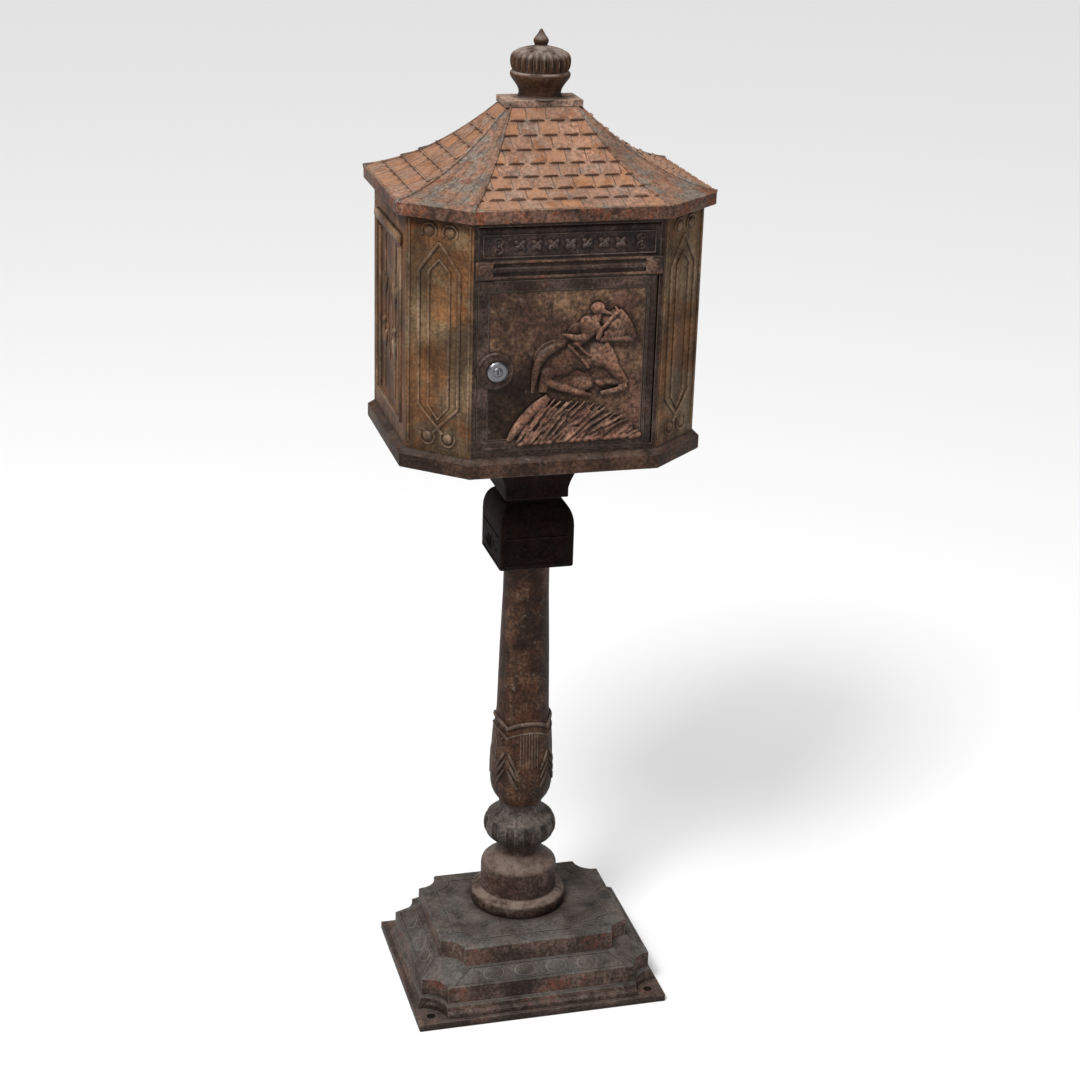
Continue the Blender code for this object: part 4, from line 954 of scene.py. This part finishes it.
def makeHips():  # a worn bead on each hip and fanned ribs between them
    parts = []
    for signX in (-1, 1):
        for signY in (-1, 1):
            for which in (0, 1):
                path = [(onHip(which, signX, signY, step / 12, -0.0004), 1 - 0.45 * step / 12)
                        for step in range(13)]
                parts.append(bead(path, roof["hipThick"], rounding=3))
            for across in roof["ribs"]:
                ray = []
                for step in range(1, 12):
                    share = step / 12
                    spot = onHip(0, signX, signY, share).lerp(onHip(1, signX, signY, share), across)
                    ray.append((spot - Vector((0, 0, 0.0003)), 1 - 0.5 * share))
                parts.append(bead(ray, roof["ribThick"], rounding=1))
    trimPiece("roof_hips", parts, "roofIron")


# the finial: urn, gadrooned lid and pointed knob
finial = {"lobes": 24, "grooves": ((1.1190, 1.1405, 0.15, 0.90), (1.1205, 1.1390, 0.38, 0.970))}
finialProfile = [
    (0.0001, 1.1626), (0.0012, 1.1618), (0.0028, 1.1592), (0.0046, 1.1563), (0.0066, 1.1535),
    (0.0079, 1.1515), (0.0084, 1.1498), (0.0082, 1.1482), (0.0075, 1.1468), (0.0070, 1.1455),
    (0.0075, 1.1445), (0.0100, 1.1438), (0.0150, 1.1428), (0.0200, 1.1415), (0.0245, 1.1400),
    (0.0282, 1.1382), (0.0308, 1.1362), (0.0325, 1.1338), (0.0334, 1.1311), (0.0335, 1.1282),
    (0.0332, 1.1252), (0.0326, 1.1225), (0.0316, 1.1200), (0.0307, 1.1186), (0.0306, 1.1178),
    (0.0316, 1.1172), (0.0327, 1.1162), (0.0332, 1.1148), (0.0331, 1.1130), (0.0325, 1.1112),
    (0.0312, 1.1092), (0.0295, 1.1070), (0.0277, 1.1046), (0.0261, 1.1022), (0.0247, 1.0998),
    (0.0237, 1.0974), (0.0233, 1.0950), (0.0236, 1.0925), (0.0244, 1.0905), (0.0250, 1.0894),
    (0.0247, 1.0893), (0.0050, 1.0893), (0.0050, 1.0608), (0.0042, 1.0600), (0.0001, 1.0600),
]


def makeFinial():
    sides = finial["lobes"] * 4
    piece = turnedPiece("finial_casting", finialProfile, sides)
    step = math.tau / finial["lobes"]
    for low, high, width, ratio in finial["grooves"]:
        choose(piece, "VERT", lambda point: low < point.co.z < high and point.co.xy.length > 0.02 and
               abs((math.atan2(point.co.y, point.co.x) / step + 0.001) % 1 - 0.5) > 0.5 - width)
        bpy.ops.transform.resize(value=(ratio, ratio, 1), center_override=(0, 0, 0))
        leaveEdit()
    place(smoothed(piece, 50), "root", "finialIron", "finial")


# the access door with its relief of a leaping horse and rider over a hedge
door = {"fieldY": -0.1405, "faceY": -0.1423, "ringY": -0.1432, "ringX": -0.0800, "ringZ": 0.8235,
        "ringR": 0.0187, "ringThick": 0.0021, "beadLeft": -0.0866, "beadRight": 0.0862, "beadLowZ": 0.7448,
        "beadHighZ": 0.9088, "beadThick": 0.0010, "hingeBeadX": 0.0898,
        "pad": ((-0.0895, 0.7330), (-0.0640, 0.7368))}


def makeDoor():
    piece = castPiece("door", "door_casting", "frontIron", 0.0007, body="door")
    paintFaces(piece, "doorIron", lambda face: abs(face.center.y - door["fieldY"]) < 0.0002
               and face.normal.y < -0.9)


def makeDoorTrim():  # ring round the lock, bead inside the border, worn pad at the lower left
    y, faceY = door["fieldY"], door["faceY"]
    left, right, low, high = (door[key] for key in ("beadLeft", "beadRight", "beadLowZ", "beadHighZ"))
    turns = [step / 36 * math.tau for step in range(36)]
    ring = [(door["ringX"] + door["ringR"] * math.cos(angle), door["ringY"],
             door["ringZ"] + door["ringR"] * math.sin(angle)) for angle in turns]
    border = [(left, y, low), (right, y, low), (right, y, high), (left, y, high)]
    hingeSide = [(door["hingeBeadX"], faceY, 0.7400), (door["hingeBeadX"], faceY, 0.9140)]
    (padLeft, padLow), (padRight, padHigh) = door["pad"]
    parts = [evenBead(ring, door["ringThick"], closed=True, rounding=3),
             evenBead(border, door["beadThick"], closed=True), evenBead(hingeSide, door["beadThick"]),
             block((padLeft, faceY - 0.0012, padLow), (padRight, faceY + 0.001, padHigh), 0.0011)]
    trimPiece("door_trim", parts, "frontIron", 50, "door")


# limbs are (lift, [(x, z, thickness), ...]) in millimetres, laid over one another in turn
reliefLimbs = [
    (3.0, [(33, 883, 5), (30, 876, 6), (26, 868, 7)]),
    (2.8, [(24, 862, 6), (18, 855, 6), (10, 852, 4.5)]),
    (2.6, [(40, 858, 5), (52, 860, 6.5), (63, 861, 6)]),
    (2.4, [(64, 864, 5), (71, 858, 5)]),
    (1.8, [(-2, 849, 2.5), (-12, 847, 4.4), (-22, 841.5, 5.4), (-29.5, 834, 5.4), (-34, 825, 5),
           (-36, 812.5, 4), (-38, 796.5, 1.5)]),
    (0.8, [(-21, 817.5, 8), (-25.5, 805, 6.5), (-26, 796.5, 5)]),
    (2.4, [(-23.5, 810, 4.5), (-11.5, 802.5, 4), (-2.5, 800, 3.8), (11, 795, 3.6), (28, 791, 2.2)]),
    (1.6, [(36.5, 845, 11), (43.5, 835, 11), (50, 824.5, 9), (58.5, 813, 6.5), (67, 802, 4.6)]),
    (2.4, [(68.5, 800, 4.2), (59.5, 796, 3.8), (50, 794, 3.6), (38.5, 792.5, 3.2)]),
    (1.2, [(40, 804.5, 3), (51, 803, 3), (62, 804.5, 3.2)]),
    (3, [(56, 885.5, 3), (61, 877, 5.6), (66, 869, 6), (71.5, 859.5, 4.6), (74.5, 854, 2.8)]),
    (3.2, [(35, 853, 3.2), (47, 854.5, 3.6), (60, 853.5, 3.4), (74, 851.5, 2.6)]),
    (4.4, [(56, 885.5, 2.2), (49, 879, 2.4), (42, 871, 2.5), (34.5, 862, 2.4)]),
    (3.4, [(51, 890, 0.8), (53.5, 886.5, 2.4), (56, 881, 2.2)]),
    (4.6, [(27.5, 875, 3.8), (34, 866.5, 3.4), (36, 859.5, 3), (31.5, 854, 2.4)]),
    (4.4, [(33, 886.5, 3.4), (41, 884.5, 2.4), (47.5, 882, 1.2)]),
    (4.2, [(-7, 862, 1.2), (1.5, 859, 3.2), (9.5, 856, 4.2), (19, 856.5, 4)]),
    (5, [(-0.5, 850, 1.5), (8.5, 840.5, 2), (17, 831.5, 2), (23.5, 823, 1.6)]),
    (4.4, [(8, 851, 1.4), (16.5, 843.5, 1.8), (24.5, 834.5, 1.4)]),
    (1.8, [(-19.5, 791, 4.5), (-29.5, 784, 6), (-40, 774.5, 6.4), (-50.5, 762.5, 6.4), (-59, 750.5, 5),
           (-63.5, 743, 3)]),
]
# lumps are (lift, x, z, half width, half height, lean, depth); those without lift fill the body
reliefLumps = [
    (3.0, 24, 868, 11.5, 12, 0.5, 4.4), (2.4, 55, 863, 13, 10.5, 0.5, 3.6),
    (0.6, 5, 833, 19, 13, 0.35, 4.2), (0.4, -4.5, 826, 15, 14, 0.2, 4.5),
    (1.2, -20, 817.5, 8, 7, 0, 3.5), (1.6, 18, 804, 13, 7.5, -0.15, 3.2),
    (1.2, 35.5, 836, 14, 15, 0, 5.5), (0.6, 20, 830.5, 14, 12, 0, 4.5),
    (3, 54.5, 868, 10.5, 9, 0.4, 3.6), (4, 21.5, 871, 9, 10.5, 0.5, 4),
    (4.2, 31.5, 888.5, 8.4, 7.2, 0.2, 4), (2.4, 12, 851.5, 10, 6, 0.7, 3),
    (2.6, 38, 804, 6, 3.4, -0.3, 2), (2.6, -1.5, 801.5, 3.8, 3, 0, 2), (0, -11.5, 833, 26, 22, 0, 2.2),
    (0, 29.5, 834.5, 24, 22, 0, 2.2), (0, 41, 855.5, 16, 16, 0, 2.4), (0, 16, 857.5, 18, 16, 0, 2.4),
    (0, 32, 876.5, 12, 12, 0, 2.6), (0, 5.5, 808.5, 28, 12, 0, 2), (0, 44.5, 812.5, 20, 12, 0, 1.6),
    (0.8, 44.5, 873, 10, 9.5, 0.3, 3.6), (1.2, 51, 880, 6, 6, 0.6, 3.0),
]
# the hedge: rows of blades leaning right over a row of clods, with low swells to carry them
hedge = {"rows": 5, "perRow": 22, "left": -52, "right": 88, "footZ": 739, "bladeLong": (20, 32),
         "bladeThick": (1.6, 2.3), "bladeLift": (0.8, 3.0), "clods": 17, "clodPitch": 8.35}
hedgeMarks = [(-63.5, 743), (-46, 771), (-32.5, 782), (-18.5, 789.5), (6.5, 785), (28.5, 784),
              (38, 780), (57.5, 769), (70.5, 763.5), (78.5, 754), (91.5, 741.5), (100.5, 737)]


def hedgeTop(x):  # height of the hedge's top on the door, in millimetres
    for (x0, z0), (x1, z1) in zip(hedgeMarks, hedgeMarks[1:]):
        if x0 <= x <= x1:
            return z0 + (z1 - z0) * (x - x0) / (x1 - x0)
    return hedge["footZ"]


def limb(lift, points, flatness=0.48):  # a tapered limb pressed flat onto the door's field
    y = door["fieldY"]
    line = [(Vector((x / 1000, y, z / 1000)), thick / 1000) for x, z, thick in points]
    part = bead(line, 1.0, rounding=3, kind="NURBS")
    pressed = Matrix.Diagonal((1, flatness, 1, 1)) @ Matrix.Translation((0, -y, 0))
    part.data.transform(Matrix.Translation((0, y - 1.25 * lift / 1000, 0)) @ pressed)
    return part


def lump(x, z, lift, size, lean, sides):  # an egg half sunk into the field, in millimetres
    y = door["fieldY"]
    return egg((x / 1000, y - lift / 1000, z / 1000), [part / 1000 for part in size], (0, -lean, 0), sides)


def makeBlades(bladeDice):
    blades = []
    foot, left, span = hedge["footZ"], hedge["left"], hedge["right"] - hedge["left"]
    for row in range(hedge["rows"]):
        for number in range(hedge["perRow"]):
            tipX = left + span * (number + bladeDice.uniform(0.2, 0.8)) / hedge["perRow"]
            high = hedgeTop(tipX) - foot
            tipZ = foot + high * (1 - row / hedge["rows"]) + bladeDice.uniform(-1.5, 1.0)
            angle = math.radians(62 - 38 * (tipX - left) / span + bladeDice.uniform(-4, 4))
            long = min(bladeDice.uniform(*hedge["bladeLong"]), (tipZ - foot) / math.sin(angle))
            rootX, rootZ = tipX - long * math.cos(angle), tipZ - long * math.sin(angle)
            if long < 6 or rootX < left - 4:
                continue
            thick = bladeDice.uniform(*hedge["bladeThick"])
            bend = bladeDice.uniform(-1.5, 1.5)
            middle = ((rootX + tipX) / 2 + bend, (rootZ + tipZ) / 2 - bend)
            line = [(rootX, rootZ, thick * 0.7), (*middle, thick), (tipX, tipZ, thick * 0.5)]
            blades.append(limb(bladeDice.uniform(*hedge["bladeLift"]), line, 1.0))
    return blades


def makeRelief():
    parts = [limb(lift, points) for lift, points in reliefLimbs]
    parts += [lump(x, z, lift, (halfX, deep, halfZ), lean, 20)
              for lift, x, z, halfX, halfZ, lean, deep in reliefLumps]
    bladeDice = random.Random(5)
    parts += makeBlades(bladeDice)
    for number in range(hedge["clods"]):
        x = hedge["left"] + 2 + number * hedge["clodPitch"]
        z = hedge["footZ"] + 0.2 * number
        parts.append(lump(x, z, bladeDice.uniform(1, 3), (4.8, 3.0, 3.2), 0.45, 14))
    for x in range(-46, 80, 9):
        high = hedgeTop(x) - hedge["footZ"]
        parts.append(lump(x, hedge["footZ"] + 0.45 * high, 0, (8.5, 1.8, 0.47 * high), 0, 14))
    piece = joined("rider_relief", parts)
    modify(piece, "REMESH", mode="VOXEL", voxel_size=0.00085, use_smooth_shade=True)
    modify(piece, "SMOOTH", factor=0.5, iterations=1)
    choose(piece, "FACE", lambda face: True)
    trimOff((0, door["fieldY"] + 0.0008, 0), (0, 1, 0), 0.0001)
    leaveEdit()
    place(smoothed(piece, 60), "door", "reliefIron")


# the letter flap: plain four-petal studs between two pairs of scrolls
flap = {"faceY": -0.1413, "rimHalf": 0.0945, "rimLowZ": 0.9470, "rimHighZ": 0.9708, "rimThick": 0.0012,
        "middleZ": 0.9590, "studs": 7, "studPitch": 0.0185, "petalX": 0.0040, "petalZ": 0.0034,
        "petal": (0.0046, 0.0026, 0.0030), "eye": (0.0022, 0.0026, 0.0022),
        "scrollX": 0.0790, "scrollR": 0.0064, "scrollLift": 0.0048, "scrollThick": 0.0018}


def makeFlapTrim():
    y, middleZ, half = flap["faceY"], flap["middleZ"], flap["rimHalf"]
    rim = [(-half, y, flap["rimLowZ"]), (half, y, flap["rimLowZ"]),
           (half, y, flap["rimHighZ"]), (-half, y, flap["rimHighZ"])]
    parts = [evenBead(rim, flap["rimThick"], closed=True)]
    for number in range(flap["studs"]):
        x = (number - (flap["studs"] - 1) / 2) * flap["studPitch"]
        for petal in range(4):
            angle = math.radians(45 + 90 * petal)
            spot = (x + flap["petalX"] * math.cos(angle), y - 0.0002,
                    middleZ + flap["petalZ"] * math.sin(angle))
            parts.append(egg(spot, flap["petal"], (0, -angle, 0), 14))
        parts.append(egg((x, y - 0.0008, middleZ), flap["eye"], sides=12))
    for side in (-1, 1):
        for lift in (-1, 1):
            curl = []
            for step in range(13):
                angle = -math.pi / 2 + step * 0.60
                reach = flap["scrollR"] * (1 - step / 15)
                x = side * (flap["scrollX"] - reach * math.cos(angle))
                z = middleZ + lift * (flap["scrollLift"] + reach * math.sin(angle) * 0.8)
                curl.append((Vector((x, y, z)), 1 - step / 20))
            parts.append(bead(curl, flap["scrollThick"], kind="NURBS"))
    trimPiece("flap_trim", parts, "flapIron", 50, "flap")


makeBase()
makeSlopePanels()
print("base done")
makePost()
makeLeafCup()
castPiece("capital_block", "capital_casting", "capitalIronInPaintedShadow", 0.0014, 3, 30)
makeCapitalPanel()
print("post and capital done")
castPiece("box_floor", "floor_casting", "floorIron", 0.0012, 2, 20)
makeFrontFrame()
makeTransomBar()
makeTransomEnds()
makeSideWall("left_wall", -1)
makeSideWall("right_wall", 1)
makeBackWall()
for mouldingName, xSign, ySign in (("front_left_mouldings", -1, -1), ("front_right_mouldings", 1, -1),
                                   ("back_left_mouldings", -1, 1), ("back_right_mouldings", 1, 1)):
    makeReturnMouldings(mouldingName, xSign, ySign)
print("box walls done")
makeRoof()
oneTile = makePatternTile()
for shingleName, quarterTurn in (("shingles_front", 0), ("shingles_right", 1), ("shingles_back", 2),
                                 ("shingles_left", 3)):
    makeShingles(shingleName, quarterTurn, oneTile)
bpy.data.objects.remove(oneTile, do_unlink=True)
makeHips()
makeFinial()
print("roof and finial done")
makeDoor()
makeDoorTrim()
makeRelief()
castPiece("letter_flap", "flap_casting", "flapIron", 0.0006, body="flap")
makeFlapTrim()
print("door and flap done")

# fasteners and lock keep their own shapes
for nodeName, node in nodes.items():
    if node.hide_render:
        continue
    finishName = "lockChrome" if nodeName in ("lock_barrel", "lock_plug") else "oldSteel"
    node.data.materials.clear()
    node.data.materials.append(finishes[finishName])

# floor, light and camera
stage = {"floor": 0.86, "sky": 0.21, "key": 145.0, "fill": 1.5, "overhead": 2.2}


def plainFloor():
    clearAll()
    bpy.ops.mesh.primitive_plane_add(size=60, location=(0, 0, -0.0002))
    floor = bpy.context.object
    floor.name = "pale_floor"
    made = bpy.data.materials.new("paleFloor")
    made.use_nodes = True
    paint = made.node_tree.nodes["Principled BSDF"].inputs
    paint["Base Color"].default_value = colour(*[stage["floor"]] * 3)
    paint["Roughness"].default_value = 0.9
    floor.data.materials.append(made)


def softLight(name, spot, power, size):
    bpy.ops.object.light_add(type="AREA", location=spot)
    lamp = bpy.context.object
    lamp.name = name
    lamp.data.energy = power
    lamp.data.size = size
    lamp.rotation_mode = "QUATERNION"
    lamp.rotation_quaternion = (Vector(spot) - Vector((0, 0, 0.8))).to_track_quat("Z", "Y")


plainFloor()
softLight("key_light", (-1.9, -2.0, 4.0), stage["key"], 1.1)
softLight("fill_light", (2.4, -2.6, 1.8), stage["fill"], 2.4)
bpy.ops.object.light_add(type="SUN", location=(0, 0, 3))
overhead = bpy.context.object
overhead.name = "overhead_light"
overhead.data.energy = stage["overhead"]
overhead.data.angle = 1.2
overhead.rotation_euler = (math.radians(12), math.radians(-10), 0)
world = bpy.context.scene.world or bpy.data.worlds.new("soft_sky")
bpy.context.scene.world = world
world.use_nodes = True
sky = world.node_tree.nodes["Background"].inputs
sky["Color"].default_value = colour(1.0, 1.0, 1.0)
sky["Strength"].default_value = stage["sky"]

view = {"spot": (-0.6249, -2.2961, 1.4979), "lens": 72.17, "yaw": 0.272, "pitch": 0.372, "roll": 0.030}
bpy.ops.object.camera_add()
camera = bpy.context.object
camera.name = "front_left_camera"
camera.data.sensor_width = 36
camera.data.lens = view["lens"]
back = Vector((-math.sin(view["yaw"]) * math.cos(view["pitch"]),
               -math.cos(view["yaw"]) * math.cos(view["pitch"]), math.sin(view["pitch"])))
right = (-back).cross(Vector((0, 0, 1))).normalized()
above = right.cross(-back)
level = right * math.cos(view["roll"]) + above * math.sin(view["roll"])
upright = above * math.cos(view["roll"]) - right * math.sin(view["roll"])
turned = Matrix((level, upright, back)).transposed().to_4x4()
camera.matrix_world = Matrix.Translation(view["spot"]) @ turned
bpy.context.scene.camera = camera
bpy.context.scene.view_settings.view_transform = "Standard"
print("floor, light and camera done")
